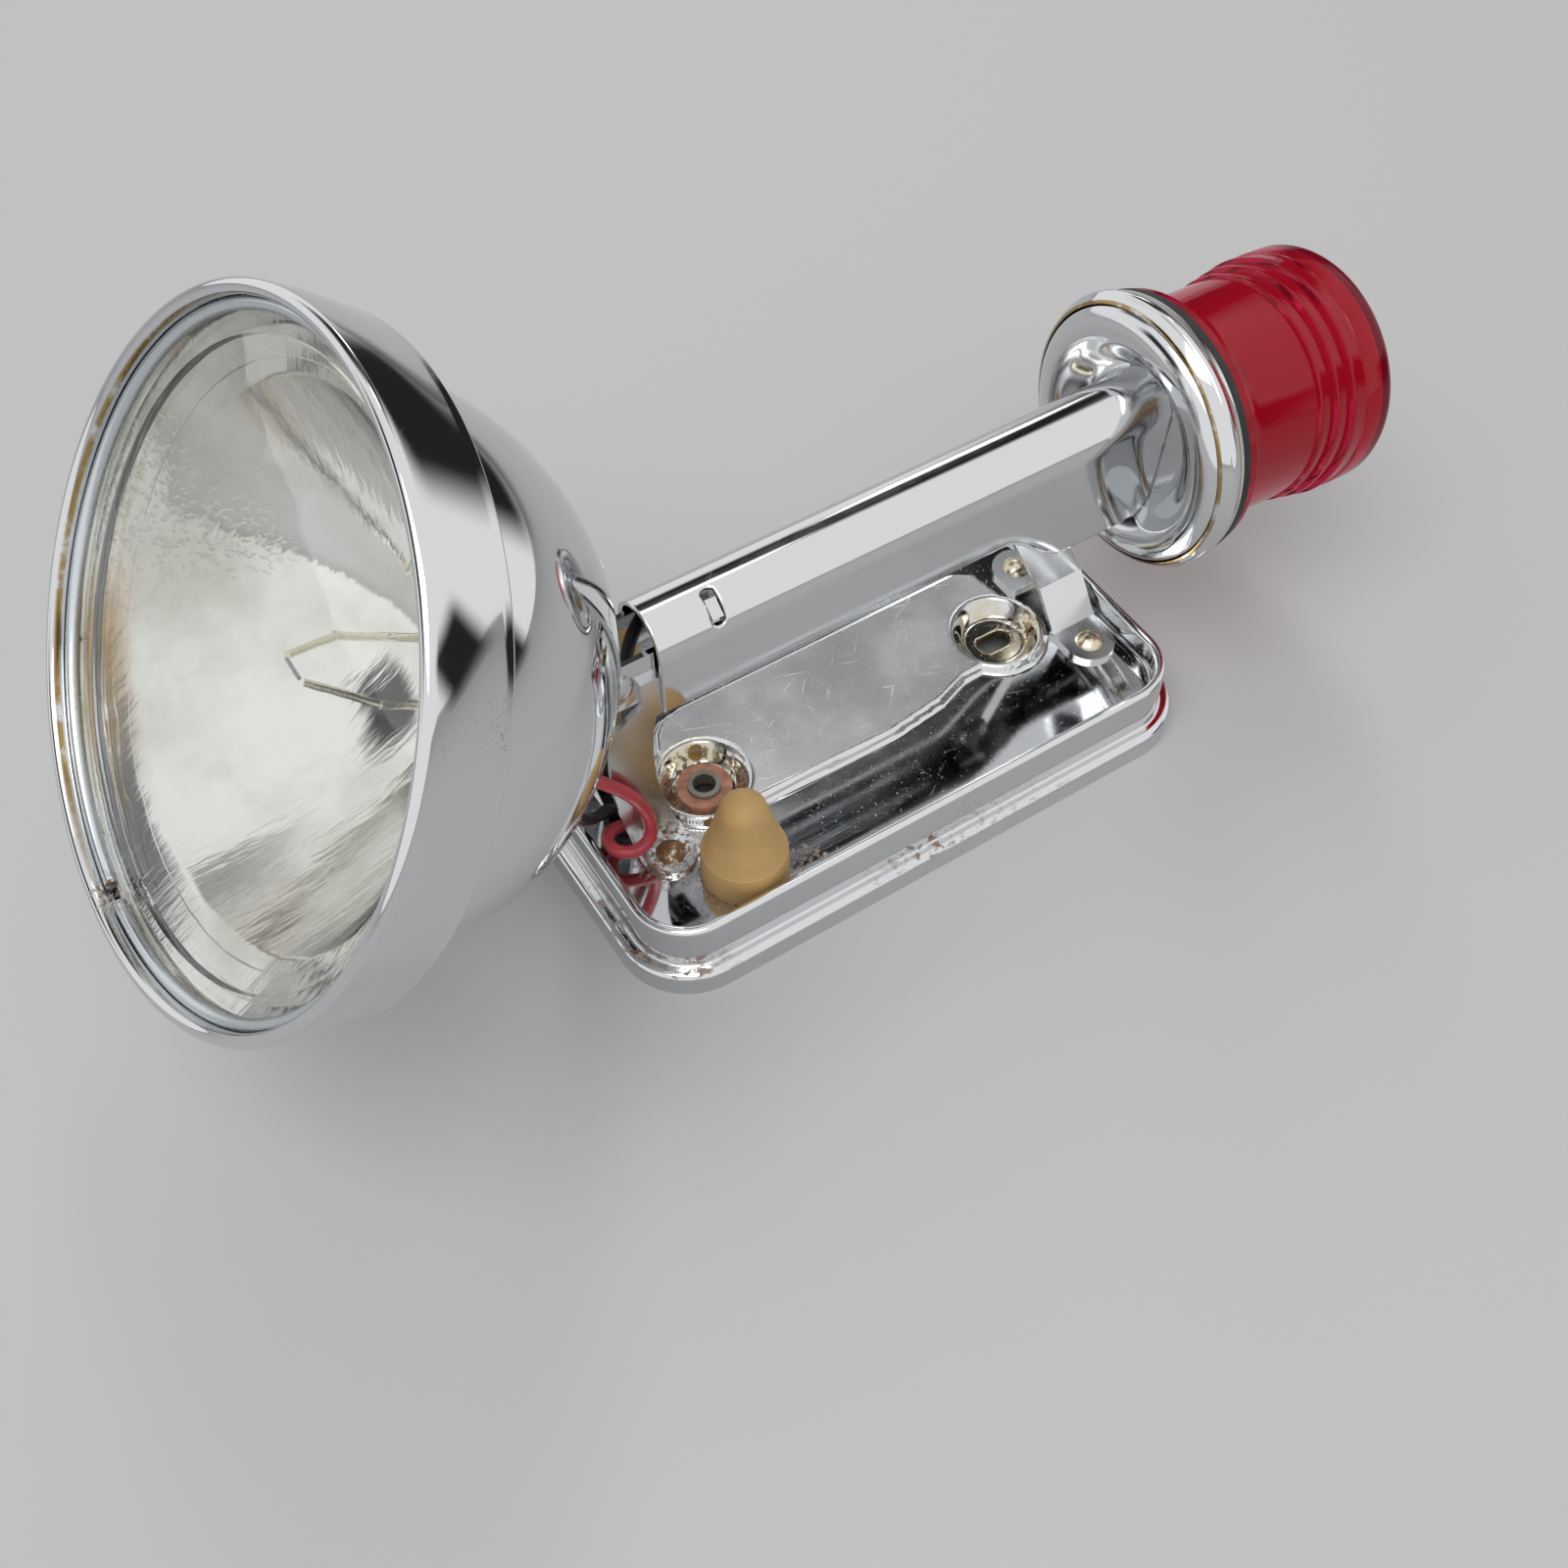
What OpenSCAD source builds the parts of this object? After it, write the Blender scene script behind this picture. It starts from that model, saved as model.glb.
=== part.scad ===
// Sealed beam hand lantern head for a large screw-post lantern battery.
// The base cap drops over the battery, a channel handle carries a tilting lamp head in front
// and a red flasher behind, and a booted push switch stands in the tray.
// Origin: middle of the whole lantern's length and width, in the plane of the cap's lower rim.
// +Z is up, the lamp faces -X, the flasher points to +X.

/* [Base cap] */
// Length of the cap over its skirt
base_l = 140; // [136:1:150]
// Width of the cap over its skirt
base_w = 78; // [76:1:86]
// Plan radius of the cap's corners
base_corner_r = 16; // [15:0.5:20]
// Thickness of the pressed sheet
sheet = 0.9; // [0.7:0.1:1.1]
// Height of the lower skirt that goes round the battery
skirt_h = 6; // [5:0.5:7]
// Radius of the skirt's shoulder
shoulder_r = 1.8; // [1.4:0.1:2.2]
// Inset of the upper wall from the skirt
wall_inset = 3.2; // [2.8:0.1:3.3]
// Height of the raised ridge round the tray
ridge_z = 17.6; // [16.6:0.2:18.6]
// Radius of the ridge's rounded top
ridge_r = 1.2; // [1.1:0.05:1.3]
// Height of the tray floor's upper face
floor_z = 11.2; // [10.8:0.1:12]
// Fillet between ridge and tray floor
floor_fillet = 0.8; // [0.6:0.1:0.9]
// Rise of the central plateau above the tray floor
plateau_h = 2.2; // [1.8:0.1:2.6]
// Reach of the plateau from the middle plane on the switch's side
plateau_near = 12; // [11.4:0.2:13]
// Reach of the plateau from the middle plane on the other side
plateau_far = 20; // [18:0.5:22]

/* [Battery posts] */
// Distance of the front post from the cap's front end
post_front_in = 34; // [33:0.5:35]
// Distance of the rear slot's middle from the cap's rear end
post_rear_in = 29; // [28:0.5:30]
// Bore for a battery post
post_r = 2.5; // [2.3:0.1:2.7]
// End to end length of the rear slot
slot_l = 8.6; // [7:0.2:9]
// Mouth radius of the two dished wells
well_r = 10.5; // [10:0.1:11]
// Radius of each well's flat floor
well_floor_r = 7; // [6.8:0.1:7.4]
// Depth of each well below the plateau
well_depth = 4.1; // [3.6:0.1:4.3]
// Wall of the insulating bushing
bushing_wall = 1.1; // [0.9:0.1:1.3]
// Outer radius of the fibre washer and the bushing's flange
washer_r = 6; // [5.6:0.1:6.4]
// Thickness of the fibre washer
washer_t = 1; // [0.8:0.1:1.4]
// Thickness of the bushing's lower flange and of the contact strip
strip_t = 0.5; // [0.4:0.1:0.7]
// Width of the brass contact strip
strip_w = 7; // [6:0.5:8]

/* [Switch] */
// Gap between the boot and the front bracket's foot
boot_gap = 1; // [0.8:0.1:1.4]
// Gap between the boot and the ridge's fillet
boot_ridge_gap = 0.1; // [0.05:0.05:0.4]
// Radius of the boot's foot as a share of the cap's width
boot_share = 0.118; // [0.112:0.001:0.12]
// Height of the boot's straight skirt
boot_skirt_h = 8; // [7:0.5:9]
// Radius of the boot's shoulder where the dome starts
boot_tip_r = 5; // [4.6:0.1:5.4]
// Height of the whole boot
boot_h = 24.3; // [23:0.1:25.5]
// Wall of the boot
boot_wall = 1.6; // [1.2:0.1:1.8]
// Radius of the switch housing
switch_r = 6.4; // [6:0.1:6.8]
// Height of the switch housing above the tray
switch_h = 8; // [7:0.5:9]
// Radius of the switch's threaded neck
neck_r = 4.5; // [4.2:0.1:4.8]
// Radius of the plunger
plunger_r = 2.6; // [2.4:0.1:2.8]
// Travel of the plunger
plunger_travel = 3; // [2:0.5:3.5]
// Wire diameter of the plunger's spring
spring_wire = 0.8; // [0.6:0.1:0.9]
// Turns of the plunger's spring
spring_turns = 3; // [2:0.5:3]

/* [Brackets] */
// Thickness of the bracket strip
strip_thick = 1.2; // [1:0.1:1.4]
// Width of the front bracket's feet
front_foot_w = 11; // [10:0.2:11]
// Distance of the front bracket's feet from the cap's front end
front_foot_in = 18.6; // [18:0.1:18.6]
// Width of the rear bracket's feet
rear_foot_w = 11.6; // [10:0.2:12]
// Distance of the rear bracket's feet from the cap's rear end
rear_foot_in = 12.6; // [12.4:0.2:14]
// Distance of the front foot rivets from the middle plane
front_foot_y = 12.2; // [11.8:0.1:12.4]
// Distance of the rear foot rivets from the middle plane
rear_foot_y = 13.4; // [12.6:0.1:14]
// Lean of the front bracket's legs towards the lamp
front_lean = 4.8; // [4:0.1:5.4]
// Distance of the rear bracket's lower bends from the middle plane
rear_bend_y = 7.8; // [7.4:0.1:8.2]
// Height at which the rear bracket's two strips meet
rear_fork_z = 21.5; // [20:0.5:24]
// Depth of the rear bracket's tabs on the handle's walls
rear_tab = 8; // [6:0.5:9]
// Lean of the rear bracket's stem towards the lamp
rear_lean = 10; // [8:0.5:12]
// Radius of the foot rivets' shanks
rivet_r = 2; // [1.8:0.1:2.2]
// Radius of the foot rivets' heads
rivet_head_r = 3.2; // [3:0.1:3.6]
// Height of the foot rivets' heads
rivet_head_h = 1.6; // [1.2:0.1:1.8]

/* [Handle] */
// Width of the channel handle
handle_w = 16; // [15:0.5:18]
// Height of the handle's crown
handle_top_z = 72.6; // [72.2:0.1:73]
// Height of the handle's lower edges
handle_low_z = 51.2; // [50:0.2:52]
// Distance of the handle's front end from the cap's front end
handle_front_in = 22; // [21:0.5:23]
// Height of the lower edge at the rear lobes
lobe_low_z = 40.5; // [40:0.5:43]
// Distance from the flasher's seam to the start of the lobes' curve
lobe_start_in = 37.6; // [36:0.2:39.6]
// Distance from the flasher's seam to the lobes' full depth
lobe_full_in = 19.6; // [18:0.2:23]
// Distance of the tongue's slot from the handle's front end
tongue_in = 13.5; // [12:0.5:14]
// Width of the tongue's slot
tongue_slot_w = 3; // [2.8:0.1:3.4]
// Length of the tongue's slot round the shoulder
tongue_slot_l = 8; // [7.5:0.1:8.5]

/* [Tilt hinge] */
// Distance of the tilt pivot from the cap's front end
pivot_in = 13; // [12:0.5:13.5]
// Height of the tilt pivot
pivot_z = 61; // [60.8:0.1:61.2]
// Tilt of the lamp above the horizontal
head_tilt = 33.3; // [30:0.1:36]
// Radius of the pivot rivet
pivot_r = 2.5; // [2.2:0.1:2.8]
// Half height of the fixed arm's cheeks
arm_half_h = 6; // [5.6:0.1:6.1]
// Radius of the lug ears round the pivot
ear_r = 5.5; // [5:0.1:5.8]
// Thickness of the friction washers
friction_t = 0.3; // [0.2:0.1:0.5]
// Half width of the lug's strap on the bowl
lug_half_w = 6; // [5:0.5:7]
// How far the strap reaches up the bowl
lug_reach_r = 28; // [24:1:32]

/* [Lamp head] */
// Distance from the tilt pivot to the bowl's flat back
bowl_back = 11.49; // [11.2:0.01:12.4]
// Outer radius of the rim
rim_r = 59.8; // [59.6:0.1:60.6]
// How much narrower the rim is at its rear
rim_taper = 1.5; // [1.2:0.1:1.6]
// Depth of the rim from front to rear bead
rim_depth = 16; // [15.5:0.5:16.5]
// Width of the rim's rolled lip
rim_lip_w = 2.6; // [2.4:0.1:2.8]
// How much narrower the bowl is than the rim
bowl_step = 8.8; // [8.3:0.1:9.8]
// Depth of the bowl's curve
bowl_depth = 53; // [52:0.5:53.5]
// Radius of the flat spot on the bowl's back
bowl_flat_r = 12; // [11:0.5:13]
// Radius of the wire hole in the bowl
bowl_hole_r = 4.5; // [4:0.1:5]
// Distance of the wire hole below the bowl's axis
bowl_hole_x = 19; // [18.5:0.5:20]

/* [Sealed beam lamp] */
// Distance of the lamp's edge inside the rim's outer face
lamp_in = 3.8; // [3.4:0.1:4.3]
// Thickness of the reflector's flange
lamp_flange = 3; // [2.5:0.1:3.5]
// Thickness of the lens at its edge
lens_edge = 3.5; // [3:0.1:4]
// Rise of the lens at its middle
lens_rise = 3; // [2:0.5:4]
// Wall of the lamp's glass
glass_wall = 2; // [1.6:0.1:2.4]
// Depth of the reflector behind its flange
reflector_depth = 37; // [35:1:38]
// Diameter of the retaining ring's wire
ring_wire = 2.4; // [2:0.1:2.6]
// How far the ring reaches under the rim's lip
ring_catch = 0.4; // [0.2:0.1:0.8]
// Gap in the split retaining ring
ring_gap = 4; // [3:0.5:6]
// Place of the ring's gap round the rim, from the top
ring_gap_angle = 174; // [0:1:359]
// Thickness of the lamp's rubber seat
seat_t = 1; // [0.8:0.1:1.2]
// Distance of the filament from the reflector's inner back
filament_reach = 30.5; // [28:0.5:32]
// Distance of the terminals from the lamp's axis
terminal_y = 9; // [8:0.5:10]
// Width of the terminal blades
blade_w = 5; // [4.5:0.1:5.5]
// Thickness of the terminal blades
blade_t = 0.8; // [0.6:0.1:1]

/* [Flasher] */
// Distance of the flasher's seam inside the cap's rear end
cup_in = 0.4; // [0:0.1:1]
// Height of the cup's seam centre
cup_z = 57; // [56.5:0.1:57.5]
// Droop of the flasher below the horizontal
cup_droop = 4; // [3:0.5:5]
// Radius of the cup at its seam
cup_r = 28.2; // [27.8:0.1:28.6]
// Depth of the dish in the cup's back
dish_depth = 5.8; // [5:0.1:6.5]
// Width of the cup's rounded crest
crest_w = 4.6; // [4:0.1:5.2]
// Height of the cup's rounded crest
crest_h = 3.4; // [3:0.1:3.8]
// Radius of the dish's flat floor
dish_floor_r = 13; // [12.5:0.5:14]
// Outer radius of the clamp ring
clamp_r = 30.3; // [30:0.1:31]
// Depth of the clamp ring
clamp_depth = 6.6; // [6:0.1:7.2]
// Thickness of the black lens gasket
gasket_t = 1.6; // [1.2:0.1:2]
// Radius of the red lens's flange
red_flange_r = 28.6; // [28.2:0.1:29]
// Thickness of the red lens's flange
red_flange_t = 2.8; // [2.4:0.1:3.2]
// Radius of the red lens's barrel
red_barrel_r = 24.6; // [24.2:0.1:25]
// Length of the red lens in front of its flange
red_l = 41; // [39:0.5:43]
// Wall of the red lens
red_wall = 2.4; // [2:0.1:2.6]
// Radius of the red lens's end edge
red_end_r = 2.6; // [2:0.2:4]
// Radius of the lens neck inside the clamp ring
red_neck_r = 25.8; // [25.4:0.1:26]
// Radius of the bulb's glass
bulb_r = 5.6; // [5:0.1:6]
// Radius of the bulb's brass base
bulb_base_r = 4.6; // [4.4:0.1:4.8]
// Wall of the bulb socket
socket_wall = 1; // [0.8:0.1:1.4]
// Height of the bulb socket above the dish
socket_h = 15; // [14:0.5:17]

/* [Leads] */
// Diameter of the insulated leads
lead_d = 2.8; // [2.4:0.1:3]
// Distance of the leads' grommet from the cap's front end
grommet_in = 15.5; // [15:0.1:15.6]
// Bore radius of the grommet
grommet_r = 4; // [3.9:0.1:4.2]
// Wall of the grommet's lip
grommet_wall = 1.2; // [1:0.1:1.4]

/* [Fits] */
// Radial clearance of a running fit
fit_run = 0.05; // [0.03:0.01:0.08]
// Clearance between pieces that are put together
fit_loose = 0.2; // [0.1:0.05:0.25]

/* [Hidden] */
$fn = 96;
eps = 0.01;
big = 200;

tray_inset = wall_inset + 2 * ridge_r + floor_fillet;
tray_under = floor_z - sheet;
plateau_z = floor_z + plateau_h;
well_z = plateau_z - well_depth;
well_under = well_z - sheet;
strip_z = well_under - 2 * strip_t;
front_x = -base_l / 2;
rear_x = base_l / 2;
post_front_x = front_x + post_front_in;
post_rear_x = rear_x - post_rear_in;
front_foot_x = front_x + front_foot_in;
rear_foot_x = rear_x - rear_foot_in;
grommet_x = front_x + grommet_in;
pivot_x = front_x + pivot_in;
handle_front_x = front_x + handle_front_in;
tongue_x = handle_front_x + tongue_in;
cup_x = rear_x - cup_in;
lobe_start_x = cup_x - lobe_start_in;
lobe_full_x = cup_x - lobe_full_in;
boot_r = base_w * boot_share;
switch_y = tray_inset + boot_r + boot_ridge_gap - base_w / 2;
switch_x = front_foot_x + sqrt(pow(front_foot_w / 2 + boot_r + boot_gap, 2) - pow(switch_y + front_foot_y, 2));
bushing_r = post_r + bushing_wall;

foot_top = floor_z + strip_thick;
leg_y1 = handle_w / 2 - sheet;
leg_y0 = leg_y1 - strip_thick;
crown_z = handle_top_z - handle_w / 2;
arm_y1 = leg_y0;
arm_y0 = arm_y1 - strip_thick;
ear_y1 = arm_y0 - friction_t;
ear_y0 = ear_y1 - strip_thick;
arm_low_z = pivot_z - arm_half_h;
arm_web_x = handle_front_x + 7;
arm_rear_x = handle_front_x + 18;
front_top_x = handle_front_x + 12;
rear_leg_x = rear_foot_x - rear_lean;
rear_top_z = handle_low_z + 6.8;

rim_rear_r = rim_r - rim_taper;
rim_open_r = rim_r - rim_lip_w;
rim_lip = rim_lip_w / 2;
bowl_r = rim_r - bowl_step;
bowl_flat_a = asin(bowl_flat_r / bowl_r);
bowl_mid = bowl_back + bowl_depth * cos(bowl_flat_a);
rim_rear = bowl_mid;
rim_front = rim_rear + rim_depth;
lamp_r = rim_r - lamp_in;
ring_mid_r = rim_open_r - ring_wire / 2 + ring_catch;
flange_z1 = rim_rear + 3.5;
flange_z0 = flange_z1 - sheet;
flange_r = rim_rear_r - sheet - fit_loose;
seat_z1 = flange_z1 + seat_t;
lens_z0 = seat_z1 + lamp_flange;
lens_z1 = lens_z0 + lens_edge;
ring_z1 = lens_z1 + ring_wire + 2 * fit_run;
reflector_rim_r = lamp_r - 7;
reflector_back = seat_z1 - reflector_depth;
parabola = pow(reflector_rim_r, 2) / reflector_depth;
post_foot_z = reflector_back + glass_wall + pow(terminal_y + 0.8, 2) / parabola + 0.05;
filament_z = reflector_back + glass_wall + filament_reach;
filament_post_y = 3.4;
filament_post_r = 0.8;
blade_top = reflector_back + pow(terminal_y - blade_t / 2, 2) / parabola - 0.05;
blade_low = blade_top - 11;

dish_floor = dish_depth - 1.8;
crest_r = cup_r - crest_w;
cup_plate_z = dish_floor - strip_thick;
clamp_in_r = red_neck_r + 0.8;
gasket_z0 = clamp_depth;
red_z0 = gasket_z0 + gasket_t;
red_z1 = red_z0 + red_flange_t;
red_end = red_z1 + red_l;
socket_z0 = dish_floor + sheet;

boot_z0 = floor_z;
spring_z0 = floor_z + switch_h;
spring_z1 = spring_z0 + 6;
spring_mean_r = plunger_r + spring_wire / 2 + 0.5;
boot_tip = boot_z0 + boot_h;

lead_r = lead_d / 2;
red_step = 0.7;

// Ends of the lantern measured from the cap's middle, and the shift that puts the origin midway.
front_end = pivot_x - (rim_r - rim_lip) * sin(head_tilt) - (rim_front - rim_lip) * cos(head_tilt) - rim_lip;
rear_end = cup_x + (red_barrel_r + 3 * red_step - red_end_r) * sin(cup_droop)
    + (red_end - red_end_r) * cos(cup_droop) + red_end_r;
frame_x = -(front_end + rear_end) / 2;

lead_under_z = tray_under - lead_r - 0.05;

// A point of the lamp head, given as up, across and forward of the pivot, in the lantern's frame.
function hp(u, v, w) = [
    pivot_x + u * sin(head_tilt) - w * cos(head_tilt),
    v,
    pivot_z + u * cos(head_tilt) + w * sin(head_tilt)
];
// A point of the flasher, given as down, across and rearward of the seam's centre.
function fp(u, v, w) = [
    cup_x - u * sin(cup_droop) + w * cos(cup_droop),
    v,
    cup_z - u * cos(cup_droop) - w * sin(cup_droop)
];

// A point of the front leads, given from the cap's front end, the middle plane and the tray floor.
function le(x, y, z) = [front_x + x, y, floor_z + z];
// The same just under the tray floor.
function ue(x, y) = [front_x + x, y, lead_under_z];

// Routes of the leads, points chosen by hand.
red_route = [
    [switch_x - 3.2, switch_y + 7.4, lead_under_z], ue(24, -9.5), ue(19, -4.5), le(15.8, -2.4, -1.8),
    le(15, -2, 0.8), le(11.8, -2.4, 3.6), le(8.4, -4.4, 5.2), le(8, -8.2, 5.4), le(11.4, -10.6, 5.2),
    le(15, -10.4, 7), le(15.8, -9.4, 11.3), le(14.6, -9.2, 16.8), le(11.2, -9.2, 23.8), le(5.6, -8.2, 30.8),
    le(-1, -5, 36.3), hp(-19, -1.9, 11.5), hp(-17, -3, 16.5), hp(-11.5, -6.8, 20.4),
    hp(-6.5, -terminal_y, blade_low + 2), hp(-blade_w / 2 - 1, -terminal_y, blade_low + 2)
];
black_route = [
    ue(16.5, 8.4), ue(15.4, 5), le(14.6, 2.4, -1.8), le(14.4, 1.9, 0.8), le(12, 1.6, 4.8), le(7, -1, 8.8),
    le(3, -3, 14.8), le(-1.5, -1, 24.8), hp(-19, 1.9, 11.5), hp(-17, 3, 16.5), hp(-11.5, 6.8, 20.4),
    hp(-6.5, terminal_y, blade_low + 2), hp(-blade_w / 2 - 1, terminal_y, blade_low + 2)
];
flasher_route = [
    ue(21, 4.6), ue(18.8, 2.4), le(17.5, 0.8, -1.6), le(17.4, 0.6, 1.8), le(18, 0.4, 10.8), le(20, 0, 24.8),
    [front_x + 23.2, 0, handle_low_z - 2.2], [front_x + 26.2, 0, pivot_z - 4],
    [front_x + 32.5, 0, crown_z - 1.8], [front_x + 45, 0, crown_z - 0.8], [0, 0, crown_z - 0.8],
    [cup_x - 44.6, 0, crown_z - 1.2], [cup_x - 24.6, 0, crown_z - 2.6], [cup_x - 9.6, 0, cup_z + 2.5],
    fp(0, 0, cup_plate_z - 5), fp(0, 0, socket_z0)
];

function arc(cx, cy, r, a0, a1, n) = [
    for (i = [0:n]) let (a = a0 + (a1 - a0) * i / n) [cx + r * cos(a), cy + r * sin(a)]
];
function ellipse(rr, dd, a0, a1, n) = [
    for (i = [0:n]) let (a = a0 + (a1 - a0) * i / n) [rr * sin(a), bowl_mid - dd * cos(a)]
];
function rev(v) = [for (i = [len(v) - 1:-1:0]) v[i]];
function unit(v) = v / norm(v);

// Points of a smooth curve through a route, with an equal number of steps on each leg.
function spline(p, steps) = [
    for (i = [0:len(p) - 2]) for (k = [0:(i == len(p) - 2 ? steps : steps - 1)])
        let (t = k / steps, a = p[max(i - 1, 0)], b = p[i], c = p[i + 1], d = p[min(i + 2, len(p) - 1)])
        0.5 * (2 * b + (c - a) * t + (2 * a - 5 * b + 4 * c - d) * t * t + (3 * b - a - 3 * c + d) * t * t * t)
];
// Side vectors carried along a path so that a tube doesn't twist.
function sides_along(t, i, s) =
    i == len(t) ? [] :
    let (n = unit(s - (s * t[i]) * t[i]))
    concat([n], sides_along(t, i + 1, n));

// A tube of n sides swept along a path.
module tube(path, r, n) {
    m = len(path);
    tan = [for (i = [0:m - 1]) unit(path[min(i + 1, m - 1)] - path[max(i - 1, 0)])];
    side = sides_along(tan, 0, cross(tan[0], [0.31, 0.52, 0.79]));
    rings = [
        for (i = [0:m - 1]) for (k = [0:n - 1])
            path[i] + r * (cos(360 * k / n) * side[i] + sin(360 * k / n) * cross(tan[i], side[i]))
    ];
    walls = [
        for (i = [0:m - 2]) for (k = [0:n - 1]) for (h = [0:1])
            let (a = i * n + k, b = i * n + (k + 1) % n)
            h == 0 ? [a, a + n, b] : [b, a + n, b + n]
    ];
    ends = concat(
        [for (k = [1:n - 2]) [0, k, k + 1]],
        [for (k = [1:n - 2]) [(m - 1) * n, (m - 1) * n + k + 1, (m - 1) * n + k]]
    );
    polyhedron(points = rings, faces = concat(walls, ends), convexity = 6);
}

module at_head() translate([pivot_x, 0, pivot_z]) rotate([0, head_tilt - 90, 0]) children();
module at_flasher() translate([cup_x, 0, cup_z]) rotate([0, 90 + cup_droop, 0]) children();
module both_sides() {
    children();
    mirror([0, 1, 0]) children();
}
// A plate that stands along the handle: an outline in X and Z between two values of Y.
module upright(y0, y1) translate([0, y1, 0]) rotate([90, 0, 0]) linear_extrude(y1 - y0) children();
// Places of the four foot rivets.
module foot_places() {
    both_sides() translate([front_foot_x, front_foot_y, 0]) children();
    both_sides() translate([rear_foot_x, rear_foot_y, 0]) children();
}
// A domed rivet head that stands on z = 0.
module dome_head(r, h) {
    cap = (r * r + h * h) / (2 * h);
    rotate_extrude() polygon(concat([[0, 0]], arc(0, h - cap, cap, asin((cap - h) / cap), 90, 12)));
}

// Section of the flasher cup's dished back as radius and height.
cup_back = [
    for (i = [0:12]) let (s = i / 12)
        [dish_floor_r + s * (crest_r - dish_floor_r), dish_floor - dish_depth * (1 - cos(180 * s)) / 2]
];

// Section of the cap's edge as inset and height, from the skirt to the tray floor.
cap_out = concat(
    [[0, 0]],
    arc(shoulder_r, skirt_h - shoulder_r, shoulder_r, 180, 90, 6),
    arc(wall_inset - 0.8, skirt_h + 0.8, 0.8, 270, 360, 6),
    arc(wall_inset + ridge_r, ridge_z - ridge_r, ridge_r, 180, 0, 12),
    arc(tray_inset, floor_z + floor_fillet, floor_fillet, 180, 270, 6),
    [[tray_inset + 2, floor_z]]
);
cap_in = concat(
    [[sheet, 0]],
    arc(shoulder_r, skirt_h - shoulder_r, shoulder_r - sheet, 180, 90, 6),
    arc(wall_inset - 0.8, skirt_h + 0.8, 0.8 + sheet, 270, 360, 6),
    arc(wall_inset + ridge_r, ridge_z - ridge_r, ridge_r - sheet, 180, 0, 12),
    arc(tray_inset, floor_z + floor_fillet, floor_fillet + sheet, 180, 270, 6),
    [[tray_inset + 2, tray_under]]
);
cap_section = concat(cap_out, rev(cap_in));

module cap_edge() {
    run_x = base_l - 2 * base_corner_r;
    run_y = base_w - 2 * base_corner_r;
    for (c = [[1, 1, 0], [-1, 1, 90], [-1, -1, 180], [1, -1, 270]])
        translate([c[0] * run_x / 2, c[1] * run_y / 2, 0]) rotate([0, 0, c[2]])
            rotate_extrude(angle = 90) polygon([for (p = cap_section) [base_corner_r - p[0], p[1]]]);
    for (s = [0, 180]) rotate([0, 0, s]) {
        translate([0, base_w / 2, 0]) rotate([90, 0, 90]) linear_extrude(run_x, center = true)
            polygon([for (p = cap_section) [-p[0], p[1]]]);
        translate([base_l / 2, 0, 0]) rotate([90, 0, 0]) linear_extrude(run_y, center = true)
            polygon([for (p = cap_section) [-p[0], p[1]]]);
    }
}
// Flat floor inside the edge, with round corners.
module cap_floor() {
    l = base_l - 2 * tray_inset - 1;
    w = base_w - 2 * tray_inset - 1;
    r = base_corner_r - tray_inset - 0.5;
    translate([0, 0, tray_under]) linear_extrude(sheet) {
        square([l - 2 * r, w], center = true);
        square([l, w - 2 * r], center = true);
        for (x = [-1, 1], y = [-1, 1]) translate([x * (l / 2 - r), y * (w / 2 - r)]) circle(r);
    }
}
// Plan of the plateau, drawn in by a margin.
module plateau_plan(m) {
    fr = well_r + 0.9 - m;
    rr = well_r + 1 - m;
    translate([post_front_x, 0]) circle(fr);
    translate([post_rear_x, 0]) circle(rr);
    polygon([
        [post_front_x - 5.6 + m, fr * 0.8], [post_front_x - 5.6 + m, plateau_far * 0.58],
        [post_front_x - 3.4 + m, plateau_far * 0.8 - m / 2], [post_front_x, plateau_far * 0.95 - m],
        [post_front_x + 6, plateau_far - m], [post_rear_x + 2, plateau_far - m],
        [post_rear_x + 6.5 - m / 2, plateau_far * 0.85 - m / 2], [post_rear_x + 8 - m, rr * 0.72],
        [post_rear_x, -rr * 0.6],
        [post_rear_x - 14, m - plateau_near * 0.63], [post_rear_x - 22, m - plateau_near * 0.86],
        [post_rear_x - 36, m - plateau_near], [post_front_x, -fr * 0.98]
    ]);
}
// Dished well shell with a flat floor.
module well(x) {
    translate([x, 0, 0]) rotate_extrude() polygon(concat(
        [[0, well_under], [well_floor_r, well_under]],
        [[well_r, plateau_z - 1.2 * sheet], [well_r + 0.4, plateau_z - sheet]],
        [[well_r + 0.4, plateau_z], [well_r - 0.3, plateau_z]],
        [[well_floor_r - 0.5, well_z], [0, well_z]]
    ));
}

module base_plate() {
    color("silver") difference() {
        union() {
            cap_edge();
            difference() {
                union() {
                    cap_floor();
                    translate([0, 0, tray_under]) linear_extrude(plateau_z - tray_under) plateau_plan(0);
                }
                translate([0, 0, tray_under - 1]) linear_extrude(plateau_z - sheet - tray_under + 1)
                    plateau_plan(sheet);
                for (x = [post_front_x, post_rear_x])
                    translate([x, 0, tray_under - 1]) cylinder(h = big, r = well_r);
            }
            well(post_front_x);
            well(post_rear_x);
        }
        translate([post_front_x, 0, 0]) cylinder(h = big, r = bushing_r + fit_run);
        for (s = [-1, 1]) translate([post_rear_x + s * (slot_l / 2 - post_r), 0, 0])
            cylinder(h = big, r = post_r);
        translate([post_rear_x - slot_l / 2 + post_r, -post_r, 0]) cube([slot_l - 2 * post_r, 2 * post_r, big]);
        foot_places() cylinder(h = big, r = rivet_r + fit_run);
        translate([switch_x, switch_y, 0]) cylinder(h = big, r = neck_r + fit_loose);
        translate([grommet_x, 0, 0]) cylinder(h = big, r = grommet_r + grommet_wall / 2 + fit_run);
    }
}

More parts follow.
